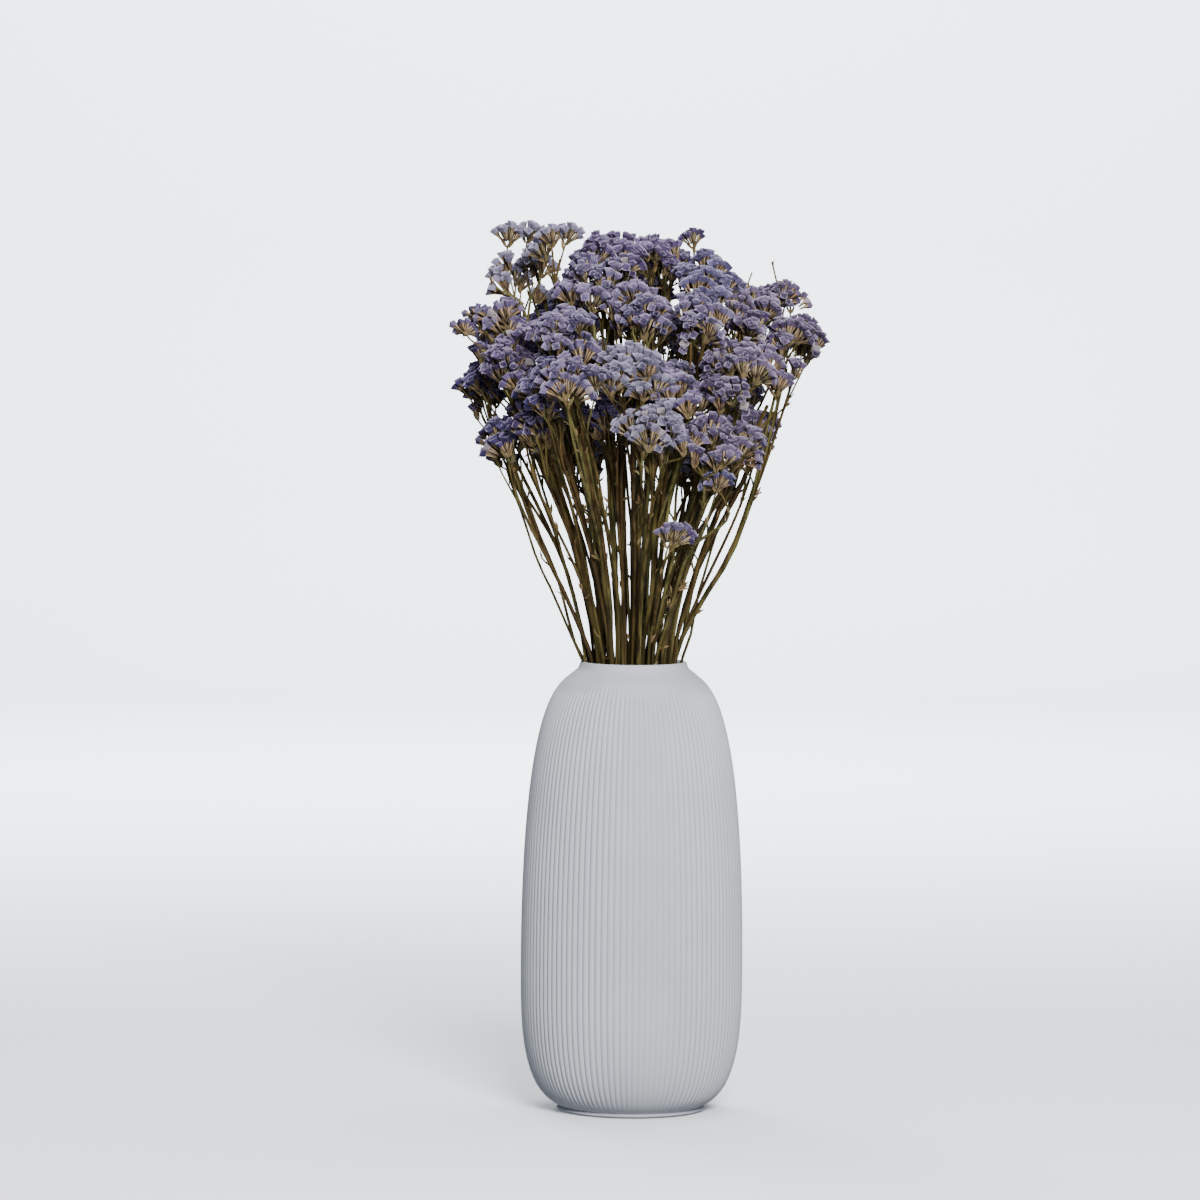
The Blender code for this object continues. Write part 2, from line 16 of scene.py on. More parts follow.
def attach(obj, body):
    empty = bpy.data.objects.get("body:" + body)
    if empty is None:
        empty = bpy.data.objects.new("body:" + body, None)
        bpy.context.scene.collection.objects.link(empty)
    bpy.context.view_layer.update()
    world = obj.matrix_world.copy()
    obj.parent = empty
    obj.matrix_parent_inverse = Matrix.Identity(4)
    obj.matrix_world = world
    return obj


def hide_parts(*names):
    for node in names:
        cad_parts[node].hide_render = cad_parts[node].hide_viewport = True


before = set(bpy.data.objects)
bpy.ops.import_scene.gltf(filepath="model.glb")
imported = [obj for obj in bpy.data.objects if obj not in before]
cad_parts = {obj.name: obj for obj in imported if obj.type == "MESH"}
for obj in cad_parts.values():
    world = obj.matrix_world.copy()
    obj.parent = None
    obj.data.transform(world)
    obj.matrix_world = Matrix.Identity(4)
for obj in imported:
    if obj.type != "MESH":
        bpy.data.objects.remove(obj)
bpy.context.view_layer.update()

MM = 0.001

# The vase: an egg-shaped body with fine upright ribs, a short narrow neck and a smooth foot.
VASE_HEIGHT = 310 * MM
BELLY_RADIUS = 76.4 * MM
BELLY_LEVEL = 100 * MM
WALL = 4.2 * MM
FLOOR_LEVEL = 6 * MM
# The body's outline below and above the belly: the curve's height and its two exponents.
LOWER_CURVE = (100.2 * MM, 2.95, 1 / 5.1)
UPPER_CURVE = (205.6 * MM, 2.23, 1 / 5.2)

# The crowns on the viewer's side. Each is the flower cluster at the end of one long branch:
# x, y and z of its middle in mm, its size from 1 to 6, and its tone.
NEAR_CROWNS = (
    (-78, 0, 587, 5, "pale"),
    (-49, -26, 597, 3, "pale"),
    (-18, -24, 592, 4, "violet"),
    (10, 8, 593, 4, "violet"),
    (34, 20, 599, 1, "violet"),
    (48, -24, 578, 5, "blue"),
    (-28, -52, 573, 4, "lilac"),
    (4, -66, 566, 4, "lilac"),
    (-48, -78, 548, 5, "lilac"),
    (-104, -14, 542, 4, "lilac"),
    (78, -42, 559, 3, "mauve"),
    (105, 8, 571, 2, "mauve"),
    (108, -18, 541, 3, "mauve"),
    (36, -80, 549, 3, "lilac"),
    (62, -86, 526, 6, "mauve"),
    (98, -32, 511, 1, "mauve"),
    (-6, -100, 521, 4, "pale"),
    (-38, -98, 526, 3, "lilac"),
    (-80, -54, 522, 4, "violet"),
    (-103, -8, 509, 3, "deep"),
    (-68, -76, 511, 3, "deep"),
    (-90, -22, 474, 3, "deep"),
    (-69, -48, 489, 3, "violet"),
    (-18, -54, 489, 3, "deep"),
    (28, -82, 503, 4, "lilac"),
    (20, -96, 490, 4, "pale"),
    (55, -88, 477, 5, "mauve"),
    (54, -92, 449, 2, "blue"),
    (30, -70, 408, 2, "lilac"),
    (-80, 10, 608, 1, "pale"),
    (86, -4, 480, 2, "mauve"),
)
# The crowns on the far side follow a rule: they fill the other half of the same egg shape.
FAR_CROWN_COUNT = 12
FAR_TOP = 574 * MM
FAR_PHASE = 0.5
FAR_SIZES = (4, 3, 5, 3)
FAR_TONES = ("violet", "lilac", "deep", "mauve", "blue", "pale")
BUNCH_RADIUS = 110 * MM
BUNCH_TOP = 592 * MM
BUNCH_WIDEST = 530 * MM
BUNCH_BOTTOM = 452 * MM
BUNCH_HALF_HEIGHT = 120 * MM
SIDE_LEAN = 0.5

# A crown is a dome of florets set rim to rim on a hexagonal grid, and it dips between its heads.
# Lengths inside a crown are shares of its dome's radius.
HEADS_FOR_SIZE = {1: 1, 2: 1, 3: 2, 4: 3, 5: 3, 6: 4}
FLORETS_FOR_SIZE = {1: 3, 2: 5, 3: 10, 4: 14, 5: 16, 6: 19}
FLORET_PITCH = 15.4 * MM
DOME_RADIUS_FOR_ONE = 5.9 * MM
DOME_RISE = 0.5
HEAD_FALL = 2.4 * MM
FUNNEL_DEPTH = 0.55
FAN_LENGTH = 0.75
HUB_DROP = 20 * MM
TWIG_STEP = 4.5 * MM

# The stems: a few plants stand in the vase and each forks into long branches.
BRANCHES_PER_PLANT = 3
OUTER_SHARE = 0.62
MOUTH_REACH = 30.2 * MM
STEEPEST = 0.5
# How far a branch bows outwards on its way up, as a share of its rise, and the crowns whose
# branches have a bow of their own. Less than nothing bows it inwards.
BOW = -0.22
OWN_BOWS = {12: 0.34, 21: 0.06}
# At its crown a branch turns this much towards the crown's axis and back from its bow.
CROWN_PULL = 0.16
BOW_BACK = 0.5
FORK_LEVEL = 170 * MM
FORK_STEP = 14 * MM
STEM_RADIUS = 3.2 * MM
BRANCH_RADIUS = 2.0 * MM
BRANCH_TIP_RADIUS = 1.6 * MM
TWIG_RADIUS = 0.95 * MM
STAND_GAP = 0.3 * MM
UPPER_SHARES = (0, 0.5, 1)

# Moving the parts of the bunch clear of each other.
CLEARANCE = 0.7 * MM
ROUNDS = 150
FLORET_REACH = 8.4 * MM
FLORET_SINK = 3 * MM
APEX_REACH = 2.6 * MM
UP = np.array([0, 0, 1.0])


def unit(vector):
    return vector / np.linalg.norm(vector)


def body_radius(z):
    """The vase's outer radius at a height between its foot and its neck."""
    height, bulge, flatness = LOWER_CURVE if z < BELLY_LEVEL else UPPER_CURVE
    share = abs(z - BELLY_LEVEL) / height
    return BELLY_RADIUS * (1 - share**bulge) ** flatness


def far_crowns():
    """Rows like those of NEAR_CROWNS, for the half of the bunch away from the viewer."""
    rows = []
    for k in range(FAR_CROWN_COUNT):
        share = (k + 0.5) / FAR_CROWN_COUNT
        z = FAR_TOP + (BUNCH_BOTTOM - FAR_TOP) * share
        inside = 1 - abs((z - BUNCH_WIDEST) / BUNCH_HALF_HEIGHT) ** 2.4
        radius = BUNCH_RADIUS * (0.1 + 0.75 * inside**0.5)
        turn = math.radians(14 + 152 * ((FAR_PHASE + k * 0.618034) % 1.0))
        size = FAR_SIZES[k % len(FAR_SIZES)]
        tone = FAR_TONES[k % len(FAR_TONES)]
        rows.append((radius * math.cos(turn) / MM, radius * math.sin(turn) / MM, z / MM, size, tone))
    return rows


def crown_axis(centre):
    """A crown looks up, and leans outwards more the lower and the further out it stands.

    It leans less to the left and right, where the bunch is widest.
    """
    out = np.array([centre[0] * SIDE_LEAN, centre[1], 0.0]) / BUNCH_RADIUS
    low = max(0.0, (BUNCH_TOP - centre[2]) / (190 * MM))
    return unit(out * (0.45 + 0.55 * low) + UP * (1 - 0.12 * np.linalg.norm(out)))


def floret_grid(count, rng):
    """Centres of the florets of one crown: the grid's cells nearest to a loosely drawn middle."""
    middle = rng.uniform(-0.5, 0.5, 2) * FLORET_PITCH
    stretch = rng.uniform(0.84, 1.16)
    cells = []
    for row in range(-4, 5):
        for column in range(-4, 5):
            x = FLORET_PITCH * (column + row / 2) - middle[0]
            y = FLORET_PITCH * row * math.sqrt(3) / 2 - middle[1]
            cells.append((math.hypot(x * stretch, y / stretch), x, y))
    cells.sort()
    return np.array([(x, y) for _, x, y in cells[:count]])


def head_cells(cells, heads):
    """Which florets are the middles of the heads: inner cells, as far from each other as they can be."""
    spread = np.hypot(cells[:, 0], cells[:, 1])
    inner = spread < 2 * FLORET_PITCH
    chosen = [int(np.argmax(np.where(spread < 1.25 * FLORET_PITCH, spread, 0)))]
    while len(chosen) < heads:
        reach = np.min([np.hypot(*(cells - cells[c]).T) for c in chosen], axis=0)
        chosen.append(int(np.argmax(reach * inner)))
    return chosen


def make_crown(index, row):
    """One crown: its middle, its axes, its florets and heads, and the hub where its branch ends."""
    rng = np.random.default_rng(1000 + index)
    centre = np.array(row[:3], float) * MM
    axis = crown_axis(centre)
    side = unit(np.cross(axis, [0.31, 1.0, 0.12]))
    turn = rng.uniform(0, 2 * math.pi)
    first = side * math.cos(turn) + np.cross(axis, side) * math.sin(turn)
    count = FLORETS_FOR_SIZE[row[3]]
    cells = floret_grid(count, rng)
    dome = DOME_RADIUS_FOR_ONE * math.sqrt(count)
    return {
        "index": index,
        "centre": centre,
        "axis": axis,
        "frame": np.array([first, np.cross(axis, first), axis]),
        "cells": cells,
        "heads": head_cells(cells, HEADS_FOR_SIZE[row[3]]),
        "dome": dome,
        "tone": row[4],
        "hub": centre - axis * (DOME_RISE * dome + HUB_DROP),
    }


def dome_point(crown, u, v, lift=0.0, depth=0.0):
    """Place and outward normal at u, v on a crown's dome.

    The point is lifted off the dome by a distance, or sunk below it by a share of its radius.
    """
    angle = math.hypot(u, v) / crown["dome"]
    turn = math.atan2(v, u)
    near = min(math.hypot(u - crown["cells"][h][0], v - crown["cells"][h][1]) for h in crown["heads"])
    fall = HEAD_FALL * min(near / FLORET_PITCH, 1.5) ** 2
    radius = (crown["dome"] - fall) * (1 - depth) + lift
    local = (math.sin(angle) * math.cos(turn), math.sin(angle) * math.sin(turn), math.cos(angle))
    normal = np.array(local) @ crown["frame"]
    middle = crown["centre"] + crown["axis"] * crown["dome"] * (DOME_RISE - 1)
    return middle + normal * radius, normal


def twig_root(number, path_end, path_before):
    """Where the twig of a crown's head leaves the branch: each a step lower than the one before."""
    return path_end - unit(path_end - path_before) * (TWIG_STEP * number + 1.5 * MM)


def hermite(start, end, leave, arrive, shares):
    """Points of the cubic curve from start to end with these end tangents."""
    s = np.asarray(shares)[:, None]
    return (
        (2 * s**3 - 3 * s**2 + 1) * start
        + (s**3 - 2 * s**2 + s) * leave
        + (3 * s**2 - 2 * s**3) * end
        + (s**3 - s**2) * arrive
    )


def mouth_point(crown):
    """Where a branch passes the vase's mouth: the more it leans, the nearer to the lip."""
    out = crown["hub"][:2]
    slope = np.linalg.norm(out) / (crown["hub"][2] - VASE_HEIGHT + 20 * MM)
    reach = MOUTH_REACH * min(1.0, slope / STEEPEST) ** 0.75
    return np.array([*(unit(out) * reach), VASE_HEIGHT])


def group_plants(crowns):
    """Branches that pass the mouth side by side grow from one plant: lists of crown numbers."""
    at = [mouth_point(crown)[:2] for crown in crowns]
    by_reach = sorted(range(len(crowns)), key=lambda k: -np.linalg.norm(at[k]))
    cut = int(len(crowns) * OUTER_SHARE)
    plants = []
    for members in (by_reach[:cut], by_reach[cut:]):
        members.sort(key=lambda k: math.atan2(at[k][1], at[k][0]))
        for start in range(0, len(members), BRANCHES_PER_PLANT):
            plants.append(members[start : start + BRANCHES_PER_PLANT])
    return plants


def branch_path(crown, fork):
    """Points of a branch from its fork in the vase, through the mouth, to its crown's hub."""
    mouth, hub = mouth_point(crown), crown["hub"]
    rise = hub[2] - mouth[2]
    along = unit(hub - mouth)
    outwards = unit(np.array([hub[0], hub[1], 0.0])) * min(1.0, np.hypot(*hub[:2]) / (60 * MM))
    bow = OWN_BOWS.get(crown["index"], BOW)
    leave = unit(along + bow * outwards)
    arrive = unit(along + CROWN_PULL * crown["axis"] - BOW_BACK * bow * outwards)
    lower = hermite(fork, mouth, UP * 90 * MM, leave * 90 * MM, (0, 0.5))
    return np.vstack([lower, hermite(mouth, hub, leave * rise, arrive * rise, UPPER_SHARES)])


def plant_stems(crowns, plants):
    """The path of each plant's stem, from the vase's floor to its fork."""
    stems = []
    for n, members in enumerate(plants):
        at = np.mean([mouth_point(crowns[k])[:2] for k in members], axis=0)
        fork = np.array([*(at * 1.25), FORK_LEVEL + FORK_STEP * (n % 4)])
        foot = np.array([*(at * 1.35), FLOOR_LEVEL + STAND_GAP])
        stems.append(np.array([foot, (fork + foot) / 2 + np.array([*(at * 0.12), 0]), fork]))
    return stems


def closest_shares(p0, p1, q0, q1):
    """How far along each pair of rods, p and q, they come closest to each other."""
    along_p, along_q, between = p1 - p0, q1 - q0, p0 - q0
    pp = np.einsum("ij,ij->i", along_p, along_p) + 1e-12
    qq = np.einsum("ij,ij->i", along_q, along_q) + 1e-12
    pq = np.einsum("ij,ij->i", along_p, along_q)
    pb = np.einsum("ij,ij->i", along_p, between)
    qb = np.einsum("ij,ij->i", along_q, between)
    s = np.clip((pq * qb - pb * qq) / np.maximum(pp * qq - pq * pq, 1e-12), 0, 1)
    t = np.clip((pq * s + qb) / qq, 0, 1)
    return np.clip((pq * t - pb) / pp, 0, 1), t


class Bunch:
    """The bunch as round-ended rods between points, which are moved until they are clear.

    A point belongs to a crown and moves with all of it, or lies on a branch and moves alone,
    or is fixed.
    """

    ALONE, FIXED = -1, -2

    def __init__(self, crowns, plants, stems):
        self.crowns = crowns
        self.points, self.owner, self.rods, self.paths = [], [], [], []
        plant_of = {k: n for n, members in enumerate(plants) for k in members}
        for k, crown in enumerate(crowns):
            self.add_branch(k, branch_path(crown, stems[plant_of[k]][-1]), plant_of[k])
            self.add_crown(k, plant_of[k])
        for n, stem in enumerate(stems):
            ids = [self.add_point(p, self.FIXED) for p in stem]
            for low, high in zip(ids, ids[1:]):
                self.rods.append((low, high, STEM_RADIUS, STEM_RADIUS, -1 - n, n, True))
        self.points = np.array(self.points)
        self.owner = np.array(self.owner)
        self.rest = self.points.copy()
        self.start, self.end = (np.array([rod[n] for rod in self.rods]) for n in (0, 1))
        self.radii = np.array([rod[2:4] for rod in self.rods])
        self.pairs = self.pairs_to_watch()

    def add_point(self, place, owner):
        self.points.append(np.array(place, float))
        self.owner.append(owner)
        return len(self.points) - 1

    def add_branch(self, k, path, plant):
        ids = [self.add_point(p, self.ALONE) for p in path[:-1]] + [self.add_point(path[-1], k)]
        radii = np.linspace(BRANCH_RADIUS, BRANCH_TIP_RADIUS, len(ids))
        for n in range(len(ids) - 1):
            self.rods.append((ids[n], ids[n + 1], radii[n], radii[n + 1], k, plant, n == 0))
        self.paths.append(ids)

    def add_crown(self, k, plant):
        crown = self.crowns[k]
        hub, before = self.points[self.paths[k][-1]], self.points[self.paths[k][-2]]
        for n, head in enumerate(crown["heads"]):
            cell = crown["cells"][head]
            root = self.add_point(twig_root(n, hub, before), k)
            base = self.add_point(dome_point(crown, *cell, depth=FAN_LENGTH)[0], k)
            top = self.add_point(dome_point(crown, *cell, depth=0.5)[0], k)
            self.rods.append((root, base, TWIG_RADIUS, TWIG_RADIUS, k, plant, False))
            self.rods.append((base, top, 2 * MM, 5 * MM, k, plant, False))
        for cell in crown["cells"]:
            spot = self.add_point(dome_point(crown, *cell, -FLORET_SINK)[0], k)
            apex = self.add_point(dome_point(crown, *cell, depth=FUNNEL_DEPTH)[0], k)
            self.rods.append((spot, apex, FLORET_REACH, APEX_REACH, k, plant, False))

    def pairs_to_watch(self):
        """Pairs of rods of different branches, but not those that meet at a plant's fork."""
        spray, plant, at_fork = (np.array([rod[n] for rod in self.rods]) for n in (4, 5, 6))
        a, b = np.triu_indices(len(self.rods), 1)
        meet = (plant[a] == plant[b]) & (at_fork[a] | at_fork[b])
        watched = (spray[a] != spray[b]) & ~meet
        return a[watched], b[watched]

    def contacts(self):
        """Pairs of rods that are too near: both rods, both shares, the way apart and the shortfall."""
        p, (a, b) = self.points, self.pairs
        middle = (p[self.start] + p[self.end]) / 2
        reach = np.linalg.norm(p[self.start] - p[self.end], axis=1) / 2 + self.radii.max(axis=1)
        near = np.linalg.norm(middle[a] - middle[b], axis=1) < reach[a] + reach[b] + CLEARANCE
        a, b = a[near], b[near]
        s, t = closest_shares(p[self.start[a]], p[self.end[a]], p[self.start[b]], p[self.end[b]])
        at_a = p[self.start[a]] * (1 - s)[:, None] + p[self.end[a]] * s[:, None]
        at_b = p[self.start[b]] * (1 - t)[:, None] + p[self.end[b]] * t[:, None]
        apart = np.linalg.norm(at_a - at_b, axis=1)
        need = self.radii[a, 0] * (1 - s) + self.radii[a, 1] * s + CLEARANCE
        need += self.radii[b, 0] * (1 - t) + self.radii[b, 1] * t
        hit = need > apart
        away = (at_a - at_b)[hit] / np.maximum(apart[hit], 1e-6)[:, None]
        return a[hit], b[hit], s[hit], t[hit], away, (need - apart)[hit]

    def push_apart(self, pull):
        """One round: every contact pushes both its rods, and pull draws all back to their places."""
        a, b, s, t, away, short = self.contacts()
        move, weight = np.zeros_like(self.points), np.zeros(len(self.points))
        for rods, share, sign in ((a, s, 0.5), (b, t, -0.5)):
            for ends, part in ((self.start, 1 - share), (self.end, share)):
                np.add.at(move, ends[rods], sign * away * (short * part)[:, None])
                np.add.at(weight, ends[rods], part)
        alone = self.owner == self.ALONE
        self.points[alone] += 1.3 * move[alone] / np.maximum(weight[alone], 1)[:, None]
        self.points[alone] += pull * (self.rest - self.points)[alone]
        for k in range(len(self.crowns)):
            mine = self.owner == k
            shove = move[mine].sum(axis=0) / max(weight[mine].sum() ** 0.5, 1.0)
            shove *= min(1.0, 2.5 * MM / max(np.linalg.norm(shove), 1e-9))
            self.points[mine] += 1.2 * shove + pull * (self.rest - self.points)[mine].mean(axis=0)
        self.smooth_branches()

    def smooth_branches(self):
        """Keeps each branch's bends near those it had, and its mouth point inside the mouth."""
        for ids in self.paths:
            inner = np.array(ids[1:-1])
            bend = (self.points[inner - 1] + self.points[inner + 1]) / 2 - self.points[inner]
            first_bend = (self.rest[inner - 1] + self.rest[inner + 1]) / 2 - self.rest[inner]
            self.points[inner] += 0.22 * (bend - first_bend)
            mouth = self.points[ids[2]]
            mouth[:2] *= min(1.0, MOUTH_REACH / max(np.linalg.norm(mouth[:2]), 1e-9))
            mouth[2] = VASE_HEIGHT


def lay_out_bunch():
    """Crowns with their branch paths, the plants they belong to, and the plants' stems."""
    rows = list(NEAR_CROWNS) + far_crowns()
    crowns = [make_crown(k, row) for k, row in enumerate(rows)]
    plants = group_plants(crowns)
    stems = plant_stems(crowns, plants)
    bunch = Bunch(crowns, plants, stems)
    for n in range(ROUNDS):
        bunch.push_apart(0.03 * max(0.0, 1 - n / (0.75 * ROUNDS)))
    for crown, ids in zip(crowns, bunch.paths):
        moved = bunch.points[ids[-1]] - bunch.rest[ids[-1]]
        crown["centre"] = crown["centre"] + moved
        crown["hub"] = crown["hub"] + moved
        crown["path"] = bunch.points[ids]
    return crowns, plants, stems


# The vase's finish: its flutes stand where the solid's do, with their rounded section.
FLUTE_COUNT = 108
FLUTE_DEPTH = 1.2 * MM
FLUTE_SECTION = (1.0, 0.27, 0.0, 0.27)
FLUTE_FOOT = (4 * MM, 14 * MM)
FLUTE_TOP = (286 * MM, 300 * MM)
BODY_RINGS = 50
BODY_SPAN = (3.2 * MM, 299.6 * MM)
FOOT_PROFILE = ((0, 0), (30, 0), (44, 0), (48.6, 0.1), (50.2, 0.7), (51.2, 1.8))
NECK_PROFILE = (
    (42.8, 301.6), (41.1, 302.9), (39.5, 304.0), (38.2, 305.3), (37.4, 306.8), (36.9, 308.2),
    (36.6, 309.2), (36.2, 309.8), (35.6, 310.0), (34.6, 309.9), (34.0, 309.4), (33.7, 308.2),
    (33.5, 305.5), (33.9, 302.6), (37.4, 299.4),
)
INSIDE_LEVELS = (294, 286, 272, 250, 215, 170, 120, 80, 50, 28, 14, 8)
INSIDE_FLOOR_RADIUS = 35 * MM

# One calyx: the rings of its ribbed tube, its papery limb and its throat, as radius and height in mm.
CALYX_SIDES = 8
TUBE_RINGS = ((0.5, 0.0), (1.4, 6.6))
LIMB_RINGS = ((2.5, 9.0), (3.6, 12.6))
THROAT_RINGS = ((2.0, 11.4), (0.5, 9.6))
CALYX_LENGTH = 12.8 * MM
CALYX_KINDS = 6
CRUMPLE = 0.85 * MM
CRUMPLE_LEVEL = 8 * MM
PLEAT = 0.74

# One head is a fan of calyces with dry bracts round its foot. The kinds of head go from a small
# tuft to a wide comb: calyces, half the fan's angle in degrees, and the foot of the fan in mm.
HEAD_KINDS = (
    (5, 22, 3.0), (6, 26, 3.2), (7, 32, 3.4), (8, 36, 4.0),
    (8, 40, 4.6), (10, 50, 6.0), (11, 58, 7.0), (14, 62, 10.0),
)
HEAD_CHANCES = (0, 0.09, 0.18, 0.24, 0.2, 0.14, 0.09, 0.06)
ROW_ANGLE = math.radians(9)
BRACTS_IN_HEAD = 4
# A bract's length, and its steps from foot to tip: how much wider, how far up and how far out.
BRACT_LENGTH = 9 * MM
BRACT_STEPS = ((2.1, 2.8, 0.5), (0.85, 3.2, 0.1), (0.16, 3.0, -0.9))
# Heads between those of the solid's florets, and strays lower down, as shares of the florets.
EXTRA_HEADS = 0.12
FAR_EXTRA_HEADS = 0.6
STRAY_HEADS = 0.2
# The crowns that have a few wide heads only, and those whose wide heads stand in one level row:
# how many. The kind that these heads are of, and their distance in a row.
FEW_HEADS = {0: 7}
ROW_HEADS = {1: 3, 4: 1, 15: 1, 27: 2, 28: 2, 29: 2}
WIDE_KIND = 4
ROW_PITCH = 16 * MM
# The crowns whose heads are the palest of their tone.
PALEST = (0, 1, 29)
# How far the heads' fans are turned from facing outwards, in radians, as a spread. Those in a row
# are turned from facing the viewer by this share of it.
FAN_TURN = 0.8
ROW_TURN = 0.15
# The crown that is turned away from the viewer, and the bare tips that stand by some crowns.
TURNED_AWAY = {9: (-0.3, 0.95, 0.4)}
BUD_TIPS = {10: (79, -24, 578), 11: (93, 4, 585), 0: (-99, -2, 571), 8: (-36, -60, 581)}

# A stem's section is a rounded core of radius 1 with three wings: radius and angle in degrees.
STEM_SECTION = (
    (0.84, 20), (0.82, 55), (1.38, 90), (0.84, 122), (0.8, 165), (1.32, 210),
    (0.82, 248), (0.8, 288), (1.4, 330),
)
STEM_POINTS = 20
PLANT_RADII = (2.6 * MM, 2.3 * MM)
MAIN_RADII = (1.5 * MM, 1.1 * MM)
SIDE_RADII = (1.0 * MM, 0.75 * MM)
TWIG_RADII = (0.62 * MM, 0.5 * MM)
CURL_RADIUS = 0.22 * MM
WANDER_LENGTH = 0.11
SIDE_STEMS = 3
SPRIGS = 3
MOUTH_ROOM = 32.0 * MM
CURLS = 8


def pick(test):
    """In edit mode, selects the vertices that pass a test of their place and nothing else."""
    shape = bmesh.from_edit_mesh(bpy.context.object.data)
    for vert in shape.verts:
        vert.select = bool(test(vert.co))
    shape.select_mode = {"VERT"}
    shape.select_flush_mode()
    bmesh.update_edit_mesh(bpy.context.object.data)


def picked():
    """In edit mode, the places of the selected vertices."""
    shape = bmesh.from_edit_mesh(bpy.context.object.data)
    return [vert.co.copy() for vert in shape.verts if vert.select]


def start_fresh():
    """Deselects everything, so that an operator acts on the new piece alone."""
    bpy.ops.object.select_all(action="DESELECT")


def finish_as(name):
    """Leaves edit mode and names the modelled piece and its mesh."""
    bpy.ops.object.mode_set(mode="OBJECT")
    piece = bpy.context.object
    piece.name = name
    piece.data.name = name
    return piece


def extrude_ring(radius, height, last_radius, last_height):
    """Extrudes the selected face or edge to the next ring: its radius and height, in metres."""
    rise = (0, 0, height - last_height)
    bpy.ops.mesh.extrude_region_move(TRANSFORM_OT_translate={"value": rise})
    ratio = radius / last_radius
    bpy.ops.transform.resize(value=(ratio, ratio, 1), center_override=(0, 0, 0))


# The vase.


def flute_depth(z):
    """How deep the flutes are cut at a height: they run out at the foot and at the shoulder."""
    rise = (z - FLUTE_FOOT[0]) / (FLUTE_FOOT[1] - FLUTE_FOOT[0])
    fade = (FLUTE_TOP[1] - z) / (FLUTE_TOP[1] - FLUTE_TOP[0])
    share = max(0.0, min(1.0, rise, fade))
    return FLUTE_DEPTH * share * share * (3 - 2 * share)


def vase_section():
    """The vase's section from the middle of its foot, up the outside, over the lip and down inside.

    Returns its points and the heights of those on the fluted outside.
    """
    low, high = BODY_SPAN
    turns = [math.pi * k / (BODY_RINGS - 1) for k in range(BODY_RINGS)]
    body = [(low + high) / 2 - (high - low) / 2 * math.cos(turn) for turn in turns]
    foot = [(r * MM, z * MM) for r, z in FOOT_PROFILE]
    neck = [(r * MM, z * MM) for r, z in NECK_PROFILE]
    outside = [(body_radius(z), z) for z in body]
    inside = [(body_radius(z * MM) - WALL, z * MM) for z in INSIDE_LEVELS]
    floor = [(INSIDE_FLOOR_RADIUS, FLOOR_LEVEL), (0, FLOOR_LEVEL)]
    return foot + outside + neck + inside + floor, body


def cut_flute(body, turn):
    """In edit mode, presses the sides of one turned flute inwards, ring by ring."""
    steps = len(FLUTE_SECTION)
    for z in body:
        depth, radius = flute_depth(z), body_radius(z)
        for column in range(steps + 1):
            share = FLUTE_SECTION[column % steps] * depth
            if share <= 0:
                continue
            angle = column * turn / steps
            pick(
                lambda co: abs(co.z - z) < 1e-5
                and abs(math.hypot(co.x, co.y) - radius) < 1e-5
                and abs(abs(math.atan2(co.y, co.x)) - angle) < 1e-4
            )
            ratio = 1 - share / radius
            bpy.ops.transform.resize(value=(ratio, ratio, 1), center_override=(0, 0, 0))


def make_vase():
    """The vase: its section is drawn, turned through one flute, relieved, and repeated all round."""
    section, body = vase_section()
    turn = 2 * math.pi / FLUTE_COUNT
    start_fresh()
    bpy.ops.mesh.primitive_plane_add(size=2 * MM)
    bpy.ops.object.mode_set(mode="EDIT")
    bpy.ops.mesh.merge(type="CENTER")
    for (r, z), (next_r, next_z) in zip(section, section[1:]):
        step = (next_r - r, 0, next_z - z)
        bpy.ops.mesh.extrude_region_move(TRANSFORM_OT_translate={"value": step})
    bpy.ops.mesh.select_all(action="SELECT")
    bpy.ops.mesh.spin(steps=len(FLUTE_SECTION), angle=turn, center=(0, 0, 0), axis=(0, 0, 1))
    cut_flute(body, turn)
    vase = finish_as("vase_fine")
    start_fresh()
    bpy.ops.object.empty_add(rotation=(0, 0, turn))
    pivot = bpy.context.object
    start_fresh()
    bpy.context.view_layer.objects.active = vase
    vase.select_set(True)
    bpy.ops.object.modifier_add(type="ARRAY")
    around = vase.modifiers[-1]
    around.count = FLUTE_COUNT
    around.use_relative_offset = False
    around.use_object_offset = True
    around.offset_object = pivot
    bpy.ops.object.modifier_apply(modifier=around.name)
    bpy.data.objects.remove(pivot)
    bpy.ops.object.mode_set(mode="EDIT")
    bpy.ops.mesh.select_all(action="SELECT")
    bpy.ops.mesh.remove_doubles(threshold=0.01 * MM)
    bpy.ops.mesh.normals_make_consistent(inside=False)
    bpy.ops.object.mode_set(mode="OBJECT")
    bpy.ops.object.shade_smooth_by_angle(angle=math.radians(50))
    return vase


# The calyces.


def turned(co):
    """How far round the upright axis a vertex stands, in calyx sides."""
    return round(math.atan2(co.y, co.x) / (2 * math.pi) * CALYX_SIDES) % CALYX_SIDES


def add_form(piece, length, bract):
    """Stores what the finish reads: each vertex's turn, its share of the length, and 1 on a bract."""
    form = piece.data.color_attributes.new("form", "FLOAT_COLOR", "POINT")
    for vert, value in zip(piece.data.vertices, form.data):
        angle = math.atan2(vert.co.y, vert.co.x)
        height = max(0.0, min(1.0, vert.co.z / length))
        value.color = (0.5 + 0.5 * math.cos(angle), 0.5 + 0.5 * math.sin(angle), height, bract)


